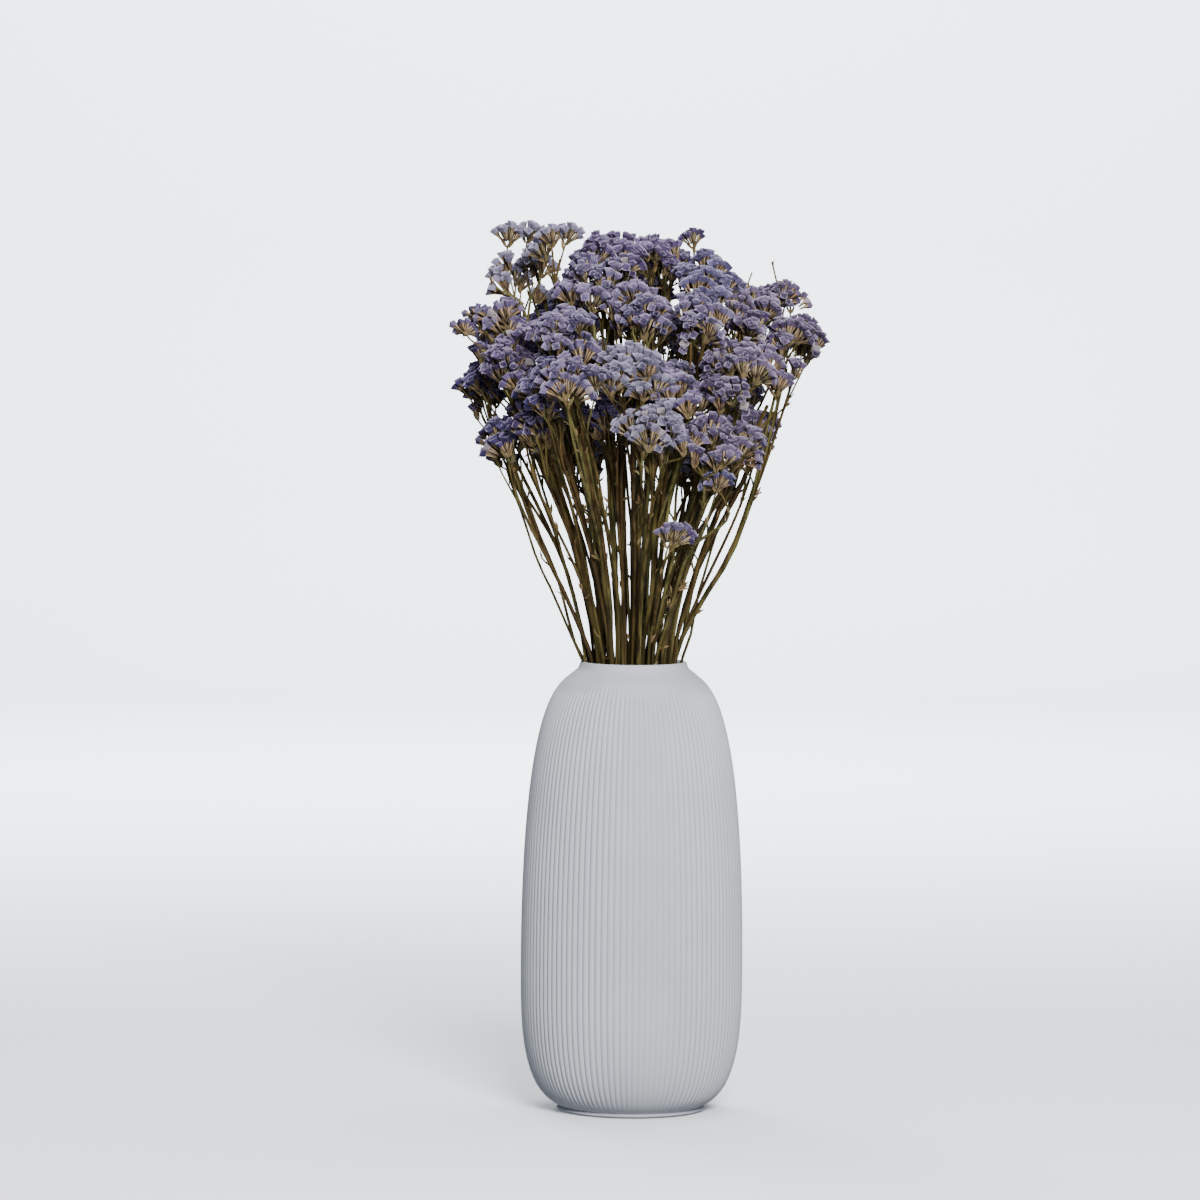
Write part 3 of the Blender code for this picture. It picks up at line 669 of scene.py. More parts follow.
def model_calyx(kind):
    """One calyx, upright on the origin: a ribbed tube, a pleated limb and a throat, all closed."""
    start_fresh()
    first = TUBE_RINGS[0][0] * MM
    bpy.ops.mesh.primitive_circle_add(vertices=CALYX_SIDES, radius=first, fill_type="NGON")
    bpy.ops.object.mode_set(mode="EDIT")
    bpy.ops.mesh.select_all(action="SELECT")
    rings = TUBE_RINGS + LIMB_RINGS + THROAT_RINGS
    for (last_radius, last_height), (radius, height) in zip(rings, rings[1:]):
        extrude_ring(radius * MM, height * MM, last_radius * MM, last_height * MM)
    for _, height in TUBE_RINGS[1:] + LIMB_RINGS + THROAT_RINGS[:2]:
        pick(lambda co: turned(co) % 2 and abs(co.z - height * MM) < 1e-6)
        bpy.ops.transform.resize(value=(PLEAT, PLEAT, 1), center_override=(0, 0, 0))
    pick(lambda co: co.z > CRUMPLE_LEVEL and math.hypot(co.x, co.y) > 1.2 * MM)
    bpy.ops.transform.vertex_random(offset=CRUMPLE, uniform=0, normal=0, seed=kind + 1)
    bpy.ops.mesh.select_all(action="SELECT")
    bpy.ops.mesh.normals_make_consistent(inside=False)
    calyx = finish_as(f"calyx_kind_{kind}")
    add_form(calyx, CALYX_LENGTH, 0)
    return calyx


def model_bract():
    """One dry bract, upright on the origin: a narrow pointed scale that bends outwards, closed."""
    start_fresh()
    bpy.ops.mesh.primitive_plane_add(size=1 * MM)
    bpy.ops.object.mode_set(mode="EDIT")
    bpy.ops.mesh.select_all(action="SELECT")
    bpy.ops.transform.resize(value=(1.1, 0.6, 1))
    for width, rise, lean in BRACT_STEPS:
        step = (0, lean * MM, rise * MM)
        bpy.ops.mesh.extrude_region_move(TRANSFORM_OT_translate={"value": step})
        places = picked()
        middle = sum(places, Vector()) / len(places)
        bpy.ops.transform.resize(value=(width, 0.8, 1), center_override=middle)
    bpy.ops.mesh.select_all(action="SELECT")
    bpy.ops.mesh.normals_make_consistent(inside=False)
    bract = finish_as("bract_kind")
    add_form(bract, BRACT_LENGTH, 1)
    return bract


def place_copy(model, base, ahead, spin, scale):
    """A copy of a model with its own mesh, standing on base and pointing ahead."""
    copy = model.copy()
    copy.data = model.data.copy()
    bpy.context.scene.collection.objects.link(copy)
    turn = Vector(ahead).to_track_quat("Z", "Y").to_matrix().to_4x4()
    size = Matrix.Diagonal((scale[0], scale[0], scale[1], 1))
    copy.data.transform(Matrix.Translation(base) @ turn @ Matrix.Rotation(spin, 4, "Z") @ size)
    return copy


def paint(piece, name, colour):
    """Gives every vertex of a piece the same value of an attribute."""
    values = piece.data.color_attributes.new(name, "FLOAT_COLOR", "POINT")
    values.data.foreach_set("color", np.tile(colour, len(piece.data.vertices)))


def join_pieces(copies, name):
    """One piece made of many copies."""
    start_fresh()
    for copy in copies:
        copy.select_set(True)
    bpy.context.view_layer.objects.active = copies[0]
    bpy.ops.object.join()
    piece = bpy.context.object
    piece.name = name
    piece.data.name = name
    return piece


def model_head(kind, calyces, bract):
    """One head, upright on the origin: a fan of calyces in two loose rows, bracts round its foot."""
    rng = np.random.default_rng(300 + kind)
    count, half_angle, foot = HEAD_KINDS[kind]
    copies = []
    for n in range(count):
        share = 2 * n / (count - 1) - 1
        fan = math.radians(half_angle) * share + rng.normal(0, 0.06)
        row = ROW_ANGLE * (1 if n % 2 else -1) + rng.normal(0, 0.12)
        ahead = unit(np.array([math.sin(fan), math.sin(row), math.cos(fan)]))
        size = (rng.uniform(0.85, 1.2), (1.04 - 0.14 * share**2) * rng.uniform(0.88, 1.08))
        model = calyces[rng.integers(len(calyces))]
        copies.append(place_copy(model, ahead * foot * MM, ahead, rng.uniform(0, 2 * math.pi), size))
        paint(copies[-1], "tint", (*rng.uniform(size=3), 1))
    for n in range(BRACTS_IN_HEAD):
        turn = 2 * math.pi * (n + rng.uniform(-0.3, 0.3)) / BRACTS_IN_HEAD
        side = np.array([1.5 * math.cos(turn), 0.8 * math.sin(turn), 0])
        ahead = unit(side * rng.uniform(0.25, 0.5) + UP)
        size = rng.uniform(0.7, 1.05)
        spin = turn - math.pi / 2
        copies.append(place_copy(bract, side * 0.5 * MM, ahead, spin, (size, size)))
        paint(copies[-1], "tint", (*rng.uniform(size=3), 1))
    return join_pieces(copies, f"head_kind_{kind}")


def head_spots(crown, rng):
    """Where a crown's heads stand on its dome: u, v and the kind, with 0 or less for a stray.

    There is one on each floret of the solid, some between them and a few strays below.
    """
    cells, level = crown["cells"], crown["frame"][:2, 0]
    kinds = rng.choice(len(HEAD_KINDS), len(cells), p=HEAD_CHANCES)
    if crown["index"] in ROW_HEADS:
        count = ROW_HEADS[crown["index"]]
        places = (np.arange(count) - (count - 1) / 2) * ROW_PITCH
        return [(*(unit(level) * place), WIDE_KIND) for place in places]
    if crown["index"] in FEW_HEADS:
        picks = np.linspace(0, len(cells) - 1, FEW_HEADS[crown["index"]])
        order = np.argsort(cells @ level)
        spots = [(*cells[order[round(n)]], WIDE_KIND) for n in picks]
    else:
        spots = [(*cell, kind) for cell, kind in zip(cells, kinds)]
        share = EXTRA_HEADS if crown["index"] < len(NEAR_CROWNS) else FAR_EXTRA_HEADS
        for kind in kinds[: round(share * len(cells))]:
            one, other = cells[rng.integers(0, len(cells), 2)]
            spots.append((*(0.55 * one + 0.45 * other), kind))
    for _ in range(max(1, round(STRAY_HEADS * len(cells)))):
        inwards = crown["frame"][:2] @ (crown["centre"] * (-1, -1, 0))
        turn = math.atan2(inwards[1], inwards[0]) + rng.uniform(-1.9, 1.9)
        spots.append((crown["dome"] * math.cos(turn), crown["dome"] * math.sin(turn), -rng.integers(0, 3)))
    return spots


def facing_turn(ahead):
    """The turn about a head's own direction that makes its fan face the viewer."""
    across = Vector(ahead).to_track_quat("Z", "Y").inverted() @ Vector((1, 0, 0))
    return math.atan2(across.y, across.x)


def plan_heads(crown):
    """The heads of a crown: each is its foot, direction, turn, size, sector of the crown and kind."""
    rng = np.random.default_rng(7000 + crown["index"])
    upright = unit(crown["axis"] * (0.9, 0.2, 1) + 0.7 * UP)
    upright = unit(np.array(TURNED_AWAY.get(crown["index"], upright)))
    in_row = crown["index"] in ROW_HEADS
    heads = []
    for u, v, kind in head_spots(crown, rng):
        u, v = np.array([u, v]) + rng.normal(0, 0.12 * FLORET_PITCH, 2)
        top, normal = dome_point(crown, u, v, rng.normal(-0.4, 3.0) * MM)
        ahead = unit(0.26 * normal * (1, 0.5, 1) + 0.74 * upright + rng.normal(0, 0.19, 3))
        size = rng.uniform(0.82, 1.08)
        if kind <= 0:
            top = top - UP * rng.uniform(9, 24) * MM
            size = rng.uniform(0.7, 0.95)
        sector = int((math.atan2(v, u) / (2 * math.pi) + 0.5) * SIDE_STEMS) % SIDE_STEMS
        foot = top - ahead * (HEAD_KINDS[abs(kind)][2] * MM + CALYX_LENGTH) * size
        spin = rng.normal(0, FAN_TURN)
        if in_row:
            spin = facing_turn(ahead) + spin * ROW_TURN
        heads.append((foot, ahead, spin, size, sector, abs(kind)))
    return heads


def dress_crown(crown, models, material):
    """A crown's heads, each a little brighter, duller or greener than the next."""
    rng = np.random.default_rng(7500 + crown["index"])
    copies = []
    for foot, ahead, spin, size, _, kind in crown["plan"]:
        copy = place_copy(models[kind], foot, ahead, spin, (size, size))
        lift = 0.75 if crown["index"] in PALEST else 0
        paint(copy, "mood", (lift + (0.75 - lift / 2) * rng.uniform(), *rng.uniform(size=2), 1))
        copies.append(copy)
    piece = join_pieces(copies, f"flowers_{crown['index'] + 1:02d}")
    piece.data.materials.clear()
    piece.data.materials.append(material)
    return piece


# The stems.


def model_stem_section():
    """The outline that every stem is drawn with: a core of radius 1 with three wings."""
    line = bpy.data.curves.new("stem_section", "CURVE")
    line.dimensions = "2D"
    spline = line.splines.new("POLY")
    spline.points.add(len(STEM_SECTION) - 1)
    for point, (radius, angle) in zip(spline.points, sorted(STEM_SECTION, key=lambda row: row[1])):
        turn = math.radians(angle)
        point.co = (radius * MM * math.cos(turn), radius * MM * math.sin(turn), 0, 1)
    spline.use_cyclic_u = True
    return bpy.data.objects.new("stem_section", line)


def smooth_path(points, count, wander, rng):
    """A smooth path through points, with a slight wander that dies out at both ends."""
    points = np.asarray(points, float)
    along = np.concatenate([[0], np.cumsum(np.linalg.norm(np.diff(points, axis=0), axis=1))])
    slopes = np.gradient(points, along, axis=0)
    spots = np.linspace(0, along[-1], count)
    path = []
    for spot in spots:
        k = min(int(np.searchsorted(along, spot, side="right")) - 1, len(points) - 2)
        step = along[k + 1] - along[k]
        share = (spot - along[k]) / step
        leave, arrive = slopes[k] * step, slopes[k + 1] * step
        path.append(hermite(points[k], points[k + 1], leave, arrive, [share])[0])
    path = np.array(path)
    ends = np.sin(math.pi * np.linspace(0, 1, count))[:, None]
    waves = []
    for n in (1, 2):
        drift, phase = rng.normal(0, wander, 3), rng.uniform()
        waves.append(drift * np.sin(2 * math.pi * (n * spots[:, None] / WANDER_LENGTH + phase)) / n)
    return path + ends * sum(waves)


def add_stem(line, path, radii, rng):
    """Adds one stem to a plant's curve, tapered and slowly twisted."""
    spline = line.splines.new("POLY")
    spline.points.add(len(path) - 1)
    twist = rng.uniform(0, 2 * math.pi)
    turn = rng.uniform(-1.2, 1.2)
    for n, (point, place) in enumerate(zip(spline.points, path)):
        share = n / (len(path) - 1)
        point.co = (*place, 1)
        point.radius = (radii[0] + (radii[1] - radii[0]) * share) / MM
        point.tilt = twist + turn * share


def bend_between(start, end, leave, arrive, count):
    """A smooth path that leaves and arrives in given directions."""
    reach = np.linalg.norm(end - start)
    return hermite(start, end, unit(leave) * reach, unit(arrive) * reach, np.linspace(0, 1, count))


def keep_in_mouth(path):
    """Draws the points of a path that lie in the vase's neck inside its wall."""
    for place in path:
        out = np.hypot(*place[:2])
        if place[2] < VASE_HEIGHT + 4 * MM and out > MOUTH_ROOM:
            place[:2] *= MOUTH_ROOM / out
    return path


def grow_branch(line, crown, rng):
    """A crown's main stem, its side stems and the twigs of its heads. Returns the drawn paths."""
    main = smooth_path(crown["path"], STEM_POINTS, 0.9 * MM, rng)
    add_stem(line, main, MAIN_RADII, rng)
    paths = [main]
    for sector in range(SIDE_STEMS):
        heads = [head for head in crown["plan"] if head[4] == sector]
        if not heads:
            continue
        feet = np.mean([head[0] for head in heads], axis=0)
        ahead = unit(np.mean([head[1] for head in heads], axis=0))
        end = feet - ahead * rng.uniform(9, 16) * MM
        if sector == 0:
            aside = unit(np.cross(main[-1] - main[0], rng.normal(0, 1, 3))) * rng.uniform(5, 10) * MM
            shares = np.linspace(0, 1, STEM_POINTS)[:, None]
            to_end = (end - main[-1] - aside * 0.64) * shares**6
            path = keep_in_mouth(main + aside * np.sin(0.25 + shares * 2.2) + to_end)
        else:
            start = int(STEM_POINTS * rng.uniform(0.5, 0.8))
            path = bend_between(main[start], end, main[start] - main[start - 1], ahead, 9)
        add_stem(line, path, SIDE_RADII, rng)
        paths.append(path)
        for foot, direction, *_ in heads:
            root = path[-1 - rng.integers(0, 3)]
            twig = bend_between(root, foot + direction * 2 * MM, path[-1] - path[-2], direction, 6)
            add_stem(line, twig, TWIG_RADII, rng)
            paths.append(twig)
    return paths


def grow_sprigs(line, crown, paths, rng):
    """Short twigs without a head on a crown's main stem, and the bare tip by some crowns."""
    sprigs = []
    for _ in range(SPRIGS):
        path = paths[0]
        at = int(rng.uniform(0.55, 0.92) * len(path))
        along = path[at] - path[at - 1]
        ahead = unit(unit(along) + rng.normal(0, 0.33, 3))
        end = path[at] + ahead * rng.uniform(12, 24) * MM
        sprigs.append(bend_between(path[at], end, along, ahead + rng.normal(0, 0.5, 3), 5))
    if crown["index"] in BUD_TIPS:
        tip = np.array(BUD_TIPS[crown["index"]]) * MM
        sprigs.append(bend_between(crown["hub"], tip, crown["axis"], UP + rng.normal(0, 0.2, 3), 9))
    for sprig in sprigs:
        add_stem(line, sprig, TWIG_RADII, rng)
    return sprigs


def add_curl(line, root, rng):
    """One dry thread that leaves a stem near the mouth and curls up on itself."""
    out = unit(np.array([*root[:2], 0]) + rng.normal(0, 8 * MM, 3))
    side = unit(np.cross(out, UP) + rng.normal(0, 0.4, 3))
    turns = np.linspace(0, rng.uniform(4, 8), 18)[:, None]
    reach = rng.uniform(3.5, 6.5) * MM
    coil = side * np.sin(turns) + UP * (1 - np.cos(turns))
    path = root + reach * (coil * (1 - 0.06 * turns) + out * 0.16 * turns)
    add_stem(line, path, (CURL_RADIUS, CURL_RADIUS * 0.8), rng)


def scatter_bracts(bract, path, count, low, rng):
    """Bracts along a path, between a share of its length and its end."""
    bracts = []
    for _ in range(count):
        at = min(int(rng.uniform(low, 1.05) * len(path)), len(path) - 1)
        ahead = unit(unit(path[at] - path[at - 1]) + rng.normal(0, 0.3, 3))
        size = rng.uniform(0.45, 0.9)
        bracts.append(place_copy(bract, path[at - 1], ahead, rng.uniform(0, 2 * math.pi), (size, size)))
        paint(bracts[-1], "tint", (*rng.uniform(size=3), 1))
    return bracts


def shells(mesh):
    """Which of a mesh's separate shells each vertex belongs to: one number for each vertex."""
    number = np.arange(len(mesh.vertices))
    edges = np.empty(2 * len(mesh.edges), np.int64)
    mesh.edges.foreach_get("vertices", edges)
    edges = edges.reshape(-1, 2)
    while True:
        lower = number.copy()
        for ends in (edges, edges[:, ::-1]):
            np.minimum.at(lower, ends[:, 0], number[ends[:, 1]])
        lower = lower[lower]
        if (lower == number).all():
            return number
        number = lower


def tint_stems(stems, rng):
    """Gives each stem of a plant a tint of its own."""
    number = shells(stems.data)
    draws = rng.uniform(size=(len(number), 4))[number]
    tint = stems.data.color_attributes.new("tint", "FLOAT_COLOR", "POINT")
    tint.data.foreach_set("color", draws.ravel())


def dress_plant(number, members, stem, crowns, section, bract, material):
    """One plant: its winged stem, branches and twigs, with dry bracts along them."""
    rng = np.random.default_rng(9000 + number)
    line = bpy.data.curves.new("plant_line", "CURVE")
    line.dimensions = "3D"
    line.bevel_mode = "OBJECT"
    line.bevel_object = section
    line.use_fill_caps = True
    low = [*stem, stem[-1] + UP * 6 * MM]
    add_stem(line, smooth_path(low, 8, 0.3 * MM, rng), PLANT_RADII, rng)
    bracts = []
    for k in members:
        paths = grow_branch(line, crowns[k], rng)
        for path in paths:
            bracts += scatter_bracts(bract, path, 2 if len(path) > 8 else 1, 0.5, rng)
        for sprig in grow_sprigs(line, crowns[k], paths, rng):
            bracts += scatter_bracts(bract, sprig, 3, 0.7, rng)
    if number < CURLS:
        add_curl(line, paths[0][7 + number % 3], rng)
    stems = bpy.data.objects.new("plant_line", line)
    bpy.context.scene.collection.objects.link(stems)
    start_fresh()
    stems.select_set(True)
    bpy.context.view_layer.objects.active = stems
    bpy.ops.object.convert(target="MESH")
    stems = bpy.context.object
    paint(stems, "form", (0.5, 0.5, 0, 0))
    tint_stems(stems, rng)
    piece = join_pieces([stems, *bracts], f"stems_{number + 1:02d}")
    piece.data.materials.clear()
    piece.data.materials.append(material)
    return piece


# The finishes.

TAN = (0.23, 0.148, 0.075)
# Near-black tan: painted shade in the grooves between a calyx tube's ribs and at the tubes' feet, and also
# the dark grain flecks on the bracts.
TAN_SHADE_AND_GRAIN = (0.022, 0.011, 0.005)
TAN_BRIGHT = (0.56, 0.42, 0.26)
CALYX_GREEN = (0.17, 0.15, 0.06)
PETAL_RIM = (0.52, 0.47, 0.62)
PETAL_FADED = (0.42, 0.37, 0.32)
# Each of these goes from its dark streaks to its light ones.
STALK_OLIVE = ((0.018, 0.013, 0.003), (0.105, 0.082, 0.024))
STALK_BROWN = ((0.015, 0.008, 0.002), (0.092, 0.056, 0.020))
STALK_GREEN = ((0.034, 0.031, 0.009), (0.15, 0.135, 0.045))
STRAW = ((0.06, 0.036, 0.014), (0.24, 0.16, 0.075))
# Painted shade: the near-black brown that the stems darken to lower down, towards the vase's mouth.
STALK_SHADE = (0.014, 0.009, 0.003)
BRACT_OLIVE = (0.13, 0.12, 0.05)
BRACT_TIP = (0.22, 0.15, 0.085)
CERAMIC = ((0.40, 0.421, 0.468), (0.43, 0.45, 0.495))
CERAMIC_SPECK = (0.27, 0.275, 0.29)
FLOOR_PAPER = (0.90, 0.93, 0.97)
# The darkest and the lightest paper of each tone.
PETAL_TONES = {
    "pale": ((0.066, 0.056, 0.10), (0.53, 0.50, 0.68)),
    "lilac": ((0.034, 0.024, 0.066), (0.40, 0.33, 0.54)),
    "violet": ((0.024, 0.014, 0.050), (0.27, 0.19, 0.40)),
    "deep": ((0.017, 0.012, 0.050), (0.19, 0.145, 0.38)),
    "blue": ((0.028, 0.023, 0.066), (0.28, 0.25, 0.46)),
    "mauve": ((0.034, 0.022, 0.056), (0.37, 0.29, 0.46)),
}


class Net:
    """A node tree that is written line by line: each call adds a node and joins its inputs."""

    def __init__(self, tree):
        self.tree = tree
        self.column = 0

    def add(self, kind, inputs=(), **settings):
        node = self.tree.nodes.new(kind)
        node.location = (220 * self.column, 0)
        self.column += 1
        for name, value in settings.items():
            setattr(node, name, value)
        for key, value in dict(inputs).items():
            if isinstance(value, bpy.types.NodeSocket):
                self.tree.links.new(value, node.inputs[key])
            else:
                node.inputs[key].default_value = value
        return node

    def maths(self, operation, a, b=0.5, c=0.5):
        return self.add("ShaderNodeMath", {0: a, 1: b, 2: c}, operation=operation).outputs[0]

    def mixed(self, share, a, b, blend="MIX"):
        node = self.add("ShaderNodeMix", data_type="RGBA", blend_type=blend)
        for key, value in ((0, share), (6, a), (7, b)):
            if isinstance(value, bpy.types.NodeSocket):
                self.tree.links.new(value, node.inputs[key])
            else:
                node.inputs[key].default_value = value if key == 0 else (*value, 1)
        return node.outputs[2]

    def step(self, value, low, high):
        """A value's place between two others, from 0 to 1, smoothed."""
        limits = {0: value, 1: low, 2: high}
        return self.add("ShaderNodeMapRange", limits, interpolation_type="SMOOTHSTEP").outputs[0]

    def stored(self, name):
        """The node that reads a colour stored on the vertices."""
        return self.add("ShaderNodeAttribute", attribute_name=name, attribute_type="GEOMETRY")

    def parts(self, name):
        """The three parts of a colour stored on the vertices."""
        return self.add("ShaderNodeSeparateColor", {0: self.stored(name).outputs["Color"]}).outputs

    def bump(self, height, strength, distance, shader):
        """Raises a shader's surface by a height, from 0 to 1, times a distance in metres."""
        values = {"Strength": strength, "Distance": distance, "Height": height}
        raised = self.add("ShaderNodeBump", values).outputs[0]
        self.tree.links.new(raised, shader.inputs["Normal"])


def group_net(name, inputs, outputs):
    """A new node group with these sockets. Returns it with its net and its two ends."""
    group = bpy.data.node_groups.new(name, "ShaderNodeTree")
    for socket, kind, value in inputs:
        made = group.interface.new_socket(socket, in_out="INPUT", socket_type=kind)
        if value is not None:
            made.default_value = value
    for socket, kind in outputs:
        group.interface.new_socket(socket, in_out="OUTPUT", socket_type=kind)
    net = Net(group)
    return group, net, net.add("NodeGroupInput"), net.add("NodeGroupOutput")


def mottle_group():
    """Soft uneven patches and fine grain over any surface: one value between 0 and 1 for each."""
    group, net, start, end = group_net(
        "mottle",
        [("Size", "NodeSocketFloat", 60.0), ("Stretch", "NodeSocketFloat", 1.0)],
        [("Patches", "NodeSocketFloat"), ("Grain", "NodeSocketFloat")],
    )
    place = net.add("ShaderNodeTexCoord").outputs["Object"]
    scale = net.add("ShaderNodeCombineXYZ", {0: 1.0, 1: 1.0, 2: start.outputs["Stretch"]}).outputs[0]
    spot = net.add("ShaderNodeVectorMath", {0: place, 1: scale}, operation="MULTIPLY").outputs[0]
    size = start.outputs["Size"]
    patches = net.add("ShaderNodeTexNoise", {"Vector": spot, "Scale": size, "Detail": 3.0})
    fine = net.maths("MULTIPLY", size, 9.0)
    grain = net.add("ShaderNodeTexNoise", {"Vector": spot, "Scale": fine, "Detail": 2.0})
    group.links.new(net.step(patches.outputs[0], 0.3, 0.7), end.inputs["Patches"])
    group.links.new(net.step(grain.outputs[0], 0.25, 0.75), end.inputs["Grain"])
    return group


def pleat_group():
    """The fine pleats that run from a calyx's base to its rim, read from the stored form."""
    group, net, start, end = group_net(
        "pleats",
        [("Count", "NodeSocketFloat", 20.0), ("Phase", "NodeSocketFloat", 0.0)],
        [("Pleats", "NodeSocketFloat"), ("Height", "NodeSocketFloat")],
    )
    form = net.parts("form")
    across = net.maths("SUBTRACT", form[0], 0.5)
    along = net.maths("SUBTRACT", form[1], 0.5)
    angle = net.maths("ARCTAN2", along, across)
    angle = net.maths("MULTIPLY_ADD", angle, start.outputs["Count"], start.outputs["Phase"])
    pleats = net.maths("MULTIPLY_ADD", net.maths("SINE", angle), 0.5, 0.5)
    group.links.new(pleats, end.inputs["Pleats"])
    group.links.new(form[2], end.inputs["Height"])
    return group


def new_material(name, roughness, sheen=0.0):
    """A material with its shader and its net, and the sockets that stay the same all over set."""
    material = bpy.data.materials.new(name)
    material.use_nodes = True
    shader = material.node_tree.nodes["Principled BSDF"]
    shader.inputs["Roughness"].default_value = roughness
    shader.inputs["Sheen Weight"].default_value = sheen
    shader.inputs["Specular IOR Level"].default_value = 0.12
    return material, shader, Net(material.node_tree)


def make_petal_material(tone, mottle, pleats):
    """Dried heads: tan ribbed calyx tubes that turn into papery limbs, and tan and olive bracts."""
    dark, light = PETAL_TONES[tone]
    material, shader, net = new_material(f"paper_{tone}", 0.85, 0.04)
    is_bract = net.stored("form").outputs["Alpha"]
    draws, moods = net.parts("tint"), net.parts("mood")
    form = net.add("ShaderNodeGroup", {"Count": 4.0, "Phase": -math.pi / 2}, node_tree=pleats)
    phase = net.maths("MULTIPLY", draws[0], 40.0)
    fine = net.add("ShaderNodeGroup", {"Count": 19.0, "Phase": phase}, node_tree=pleats)
    spots = net.add("ShaderNodeGroup", {"Size": 130.0}, node_tree=mottle)
    height = form.outputs["Height"]
    ribs = net.maths("POWER", form.outputs["Pleats"], 1.1)
    straw = net.mixed(net.maths("MULTIPLY", draws[0], 0.8), TAN, TAN_BRIGHT)
    green = net.mixed(draws[0], CALYX_GREEN, TAN_BRIGHT)
    tube = net.mixed(net.step(moods[1], 0.55, 0.8), straw, green)
    # Painted shade: the grooves between the tube's ribs turn near-black tan, the crests keep the tube's
    # colour.
    tube = net.mixed(ribs, TAN_SHADE_AND_GRAIN, tube)
    # Painted shade: the lower part of each tube, where the calyces crowd at the head's foot, darkens
    # towards near-black tan.
    tube = net.mixed(net.maths("MULTIPLY", net.step(height, 0.42, 0.0), 0.75), tube, TAN_SHADE_AND_GRAIN)
    bright = net.maths("MULTIPLY", moods[0], 0.6)
    bright = net.maths("MULTIPLY_ADD", draws[2], 0.5, bright)
    bright = net.maths("SUBTRACT", bright, 0.29)
    bright = net.maths("MULTIPLY_ADD", spots.outputs["Patches"], 0.4, bright)
    limb = net.mixed(bright, dark, light)
    # Painted shade in the folds of the limb, together with its darker veins: dark streaks that follow the
    # fine pleats.
    limb = net.mixed(net.maths("MULTIPLY", fine.outputs["Pleats"], 0.85), limb, dark)
    limb = net.mixed(net.maths("MULTIPLY", spots.outputs["Grain"], 0.35), limb, dark)
    limb = net.mixed(net.maths("MULTIPLY", net.step(height, 0.9, 1.0), 0.45), limb, PETAL_RIM)
    faded = net.maths("MULTIPLY", net.step(draws[1], 0.88, 0.97), 0.6)
    limb = net.mixed(faded, limb, PETAL_FADED)
    wander = net.maths("MULTIPLY_ADD", draws[0], 0.1, height)
    colour = net.mixed(net.step(wander, 0.66, 0.74), tube, limb)
    scale = net.mixed(draws[1], TAN, CALYX_GREEN)
    scale = net.mixed(net.maths("MULTIPLY", spots.outputs["Grain"], 0.6), scale, TAN_SHADE_AND_GRAIN)
    colour = net.mixed(is_bract, colour, scale)
    net.tree.links.new(colour, shader.inputs["Base Color"])
    relief = net.maths("MULTIPLY_ADD", spots.outputs["Grain"], 0.5, fine.outputs["Pleats"])
    net.bump(relief, 0.7, 0.0003, shader)
    return material


def make_stalk_material(mottle):
    """Dried stems: olive where they stayed green, brown in patches, straw and olive on their bracts, and
    painted shade that darkens them lower down, towards the mouth.
    """
    material, shader, net = new_material("dry_stalk", 0.8)
    streaks = net.add("ShaderNodeGroup", {"Size": 220.0, "Stretch": 0.06}, node_tree=mottle)
    patches = net.add("ShaderNodeGroup", {"Size": 16.0, "Stretch": 0.3}, node_tree=mottle)
    draws, form = net.parts("tint"), net.parts("form")
    is_bract = net.stored("form").outputs["Alpha"]
    place = net.add("ShaderNodeTexCoord").outputs["Object"]
    up = net.add("ShaderNodeSeparateXYZ", {0: place}).outputs[2]
    olive = net.mixed(streaks.outputs["Patches"], *STALK_OLIVE)
    brown = net.mixed(streaks.outputs["Patches"], *STALK_BROWN)
    blend = net.maths("MULTIPLY", draws[0], 0.6)
    blend = net.maths("MULTIPLY_ADD", patches.outputs["Patches"], 0.6, blend)
    colour = net.mixed(net.step(blend, 0.35, 0.85), olive, brown)
    green = net.mixed(streaks.outputs["Patches"], *STALK_GREEN)
    colour = net.mixed(net.step(draws[1], 0.62, 0.85), colour, green)
    # Painted shade: below the crowns the stems darken towards the vase's mouth.
    shade = net.maths("MULTIPLY", net.step(up, 0.42, 0.31), 0.35)
    colour = net.mixed(shade, colour, STALK_SHADE)
    straw = net.mixed(draws[0], *STRAW)
    straw = net.mixed(net.step(draws[1], 0.5, 0.8), straw, BRACT_OLIVE)
    straw = net.mixed(net.maths("MULTIPLY", form[2], 0.4), straw, BRACT_TIP)
    colour = net.mixed(is_bract, colour, straw)
    net.tree.links.new(colour, shader.inputs["Base Color"])
    net.bump(streaks.outputs["Grain"], 0.7, 0.0003, shader)
    return material


def make_ceramic_material(mottle):
    """Unglazed pale grey stoneware: a fine bisque grain, faint clouds and a few dark specks."""
    material, shader, net = new_material("bisque_ceramic", 0.8)
    clouds = net.add("ShaderNodeGroup", {"Size": 22.0}, node_tree=mottle)
    grain = net.add("ShaderNodeGroup", {"Size": 260.0}, node_tree=mottle)
    colour = net.mixed(clouds.outputs["Patches"], *CERAMIC)
    speck = net.maths("MULTIPLY", net.step(grain.outputs["Grain"], 0.86, 0.97), 0.16)
    colour = net.mixed(speck, colour, CERAMIC_SPECK)
    net.tree.links.new(colour, shader.inputs["Base Color"])
    rough = net.maths("MULTIPLY_ADD", grain.outputs["Patches"], 0.12, 0.72)
    net.tree.links.new(rough, shader.inputs["Roughness"])
    net.bump(grain.outputs["Grain"], 0.25, 0.0002, shader)
    return material


# The studio.


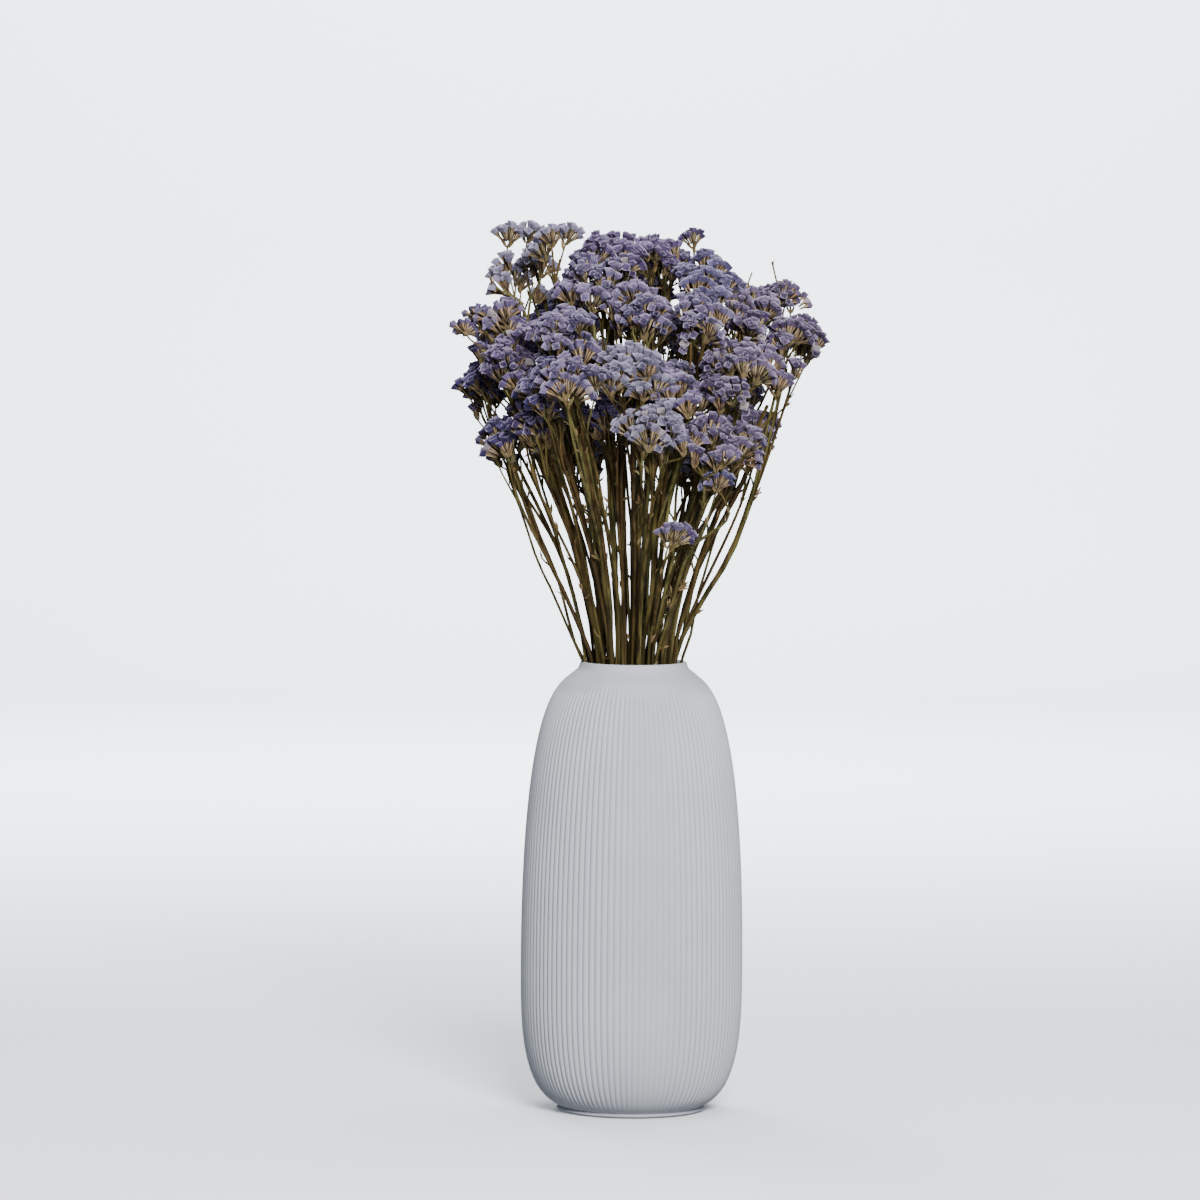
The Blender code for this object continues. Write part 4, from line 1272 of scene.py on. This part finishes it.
def make_floor():
    """A pale floor that runs back and rises into the wall in one sweep, clear from behind."""
    start_fresh()
    bpy.ops.mesh.primitive_plane_add(size=12)
    bpy.ops.object.mode_set(mode="EDIT")
    pick(lambda co: co.y > 1)
    bpy.ops.transform.translate(value=(0, -2.5, 0))
    for back, up in ((0.25, 0.06), (0.2, 0.16), (0.15, 0.3), (0.06, 0.5), (0, 5)):
        bpy.ops.mesh.extrude_region_move(TRANSFORM_OT_translate={"value": (0, back, up)})
    floor = finish_as("studio_floor")
    floor.data.transform(floor.matrix_world)
    floor.matrix_world = Matrix.Identity(4)
    bpy.ops.object.shade_smooth()
    material, shader, net = new_material("studio_paper", 0.95)
    shader.inputs["Base Color"].default_value = (*FLOOR_PAPER, 1)
    behind = net.add("ShaderNodeNewGeometry").outputs["Backfacing"]
    clear = net.add("ShaderNodeBsdfTransparent").outputs[0]
    seen = net.add("ShaderNodeMixShader", {0: behind, 1: shader.outputs[0], 2: clear}).outputs[0]
    net.tree.links.new(seen, net.tree.nodes["Material Output"].inputs["Surface"])
    floor.data.materials.append(material)
    floor.visible_diffuse = False


def add_light(name, place, aim, size, power, colour):
    """A soft square light that looks at a point."""
    lamp = bpy.data.lights.new(name, "AREA")
    lamp.shape = "RECTANGLE"
    lamp.size, lamp.size_y = size
    lamp.energy = power
    lamp.color = colour
    thing = bpy.data.objects.new(name, lamp)
    bpy.context.scene.collection.objects.link(thing)
    thing.location = place
    thing.rotation_euler = (Vector(aim) - Vector(place)).to_track_quat("-Z", "Y").to_euler()


def light_studio():
    """Even pale light from all round, a large key light in front, and soft ones behind and above."""
    world = bpy.data.worlds.new("studio_air")
    bpy.context.scene.world = world
    world.use_nodes = True
    air = world.node_tree.nodes["Background"]
    air.inputs[0].default_value = (0.88, 0.93, 1.0, 1)
    air.inputs[1].default_value = 0.36
    add_light("key", (0.55, -3.0, 1.7), (0, 0, 0.35), (1.1, 1.1), 245, (1.0, 0.985, 0.97))
    add_light("back", (-1.2, 2.4, 1.9), (0, 0, 0.4), (1.2, 1.2), 60, (0.97, 0.98, 1.0))
    add_light("top", (0.2, 0.6, 2.6), (0, 0, 0.4), (1.6, 1.6), 50, (1, 1, 1))
    add_light("wall", (0, 2.1, 2.3), (0, 4, 0.9), (2.6, 0.8), 340, (0.93, 0.965, 1.0))


CAMERA_PLACE = (-0.0233, -5.0, 0.685)
CAMERA_AIM = (-0.0233, 0.0, 0.352)
CAMERA_ROLL = math.radians(0.37)
FOCAL_PIXELS = 7295
PHOTO_PIXELS = 1200
SENSOR_WIDTH = 36


def place_camera():
    """The camera stands where the photograph was taken from, a little above the flowers."""
    lens = bpy.data.cameras.new("camera")
    lens.sensor_width = SENSOR_WIDTH
    lens.lens = SENSOR_WIDTH * FOCAL_PIXELS / PHOTO_PIXELS
    camera = bpy.data.objects.new("camera", lens)
    bpy.context.scene.collection.objects.link(camera)
    bpy.context.scene.camera = camera
    look = (Vector(CAMERA_AIM) - Vector(CAMERA_PLACE)).to_track_quat("-Z", "Y").to_matrix().to_4x4()
    camera.matrix_world = Matrix.Translation(CAMERA_PLACE) @ look @ Matrix.Rotation(CAMERA_ROLL, 4, "Z")


def main():
    """Dresses every node of the part, and sets up the studio and the camera."""
    place_camera()
    mottle, pleats = mottle_group(), pleat_group()
    crowns, plants, stems = lay_out_bunch()
    vase = make_vase()
    vase.data.materials.clear()
    vase.data.materials.append(make_ceramic_material(mottle))
    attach(vase, "root")
    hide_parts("vase")
    papers = {tone: make_petal_material(tone, mottle, pleats) for tone in PETAL_TONES}
    calyces, bract = [model_calyx(kind) for kind in range(CALYX_KINDS)], model_bract()
    heads = [model_head(kind, calyces, bract) for kind in range(len(HEAD_KINDS))]
    for crown in crowns:
        crown["plan"] = plan_heads(crown)
        piece = dress_crown(crown, heads, papers[crown["tone"]])
        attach(piece, "root")
        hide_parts(f"crown_{crown['index'] + 1:02d}_{crown['tone']}")
    stalk = make_stalk_material(mottle)
    section = model_stem_section()
    for n, members in enumerate(plants):
        piece = dress_plant(n, members, stems[n], crowns, section, bract, stalk)
        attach(piece, "root")
        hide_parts(f"plant_{n + 1:02d}")
    for model in [*calyces, *heads, bract]:
        bpy.data.objects.remove(model)
    make_floor()
    light_studio()


main()
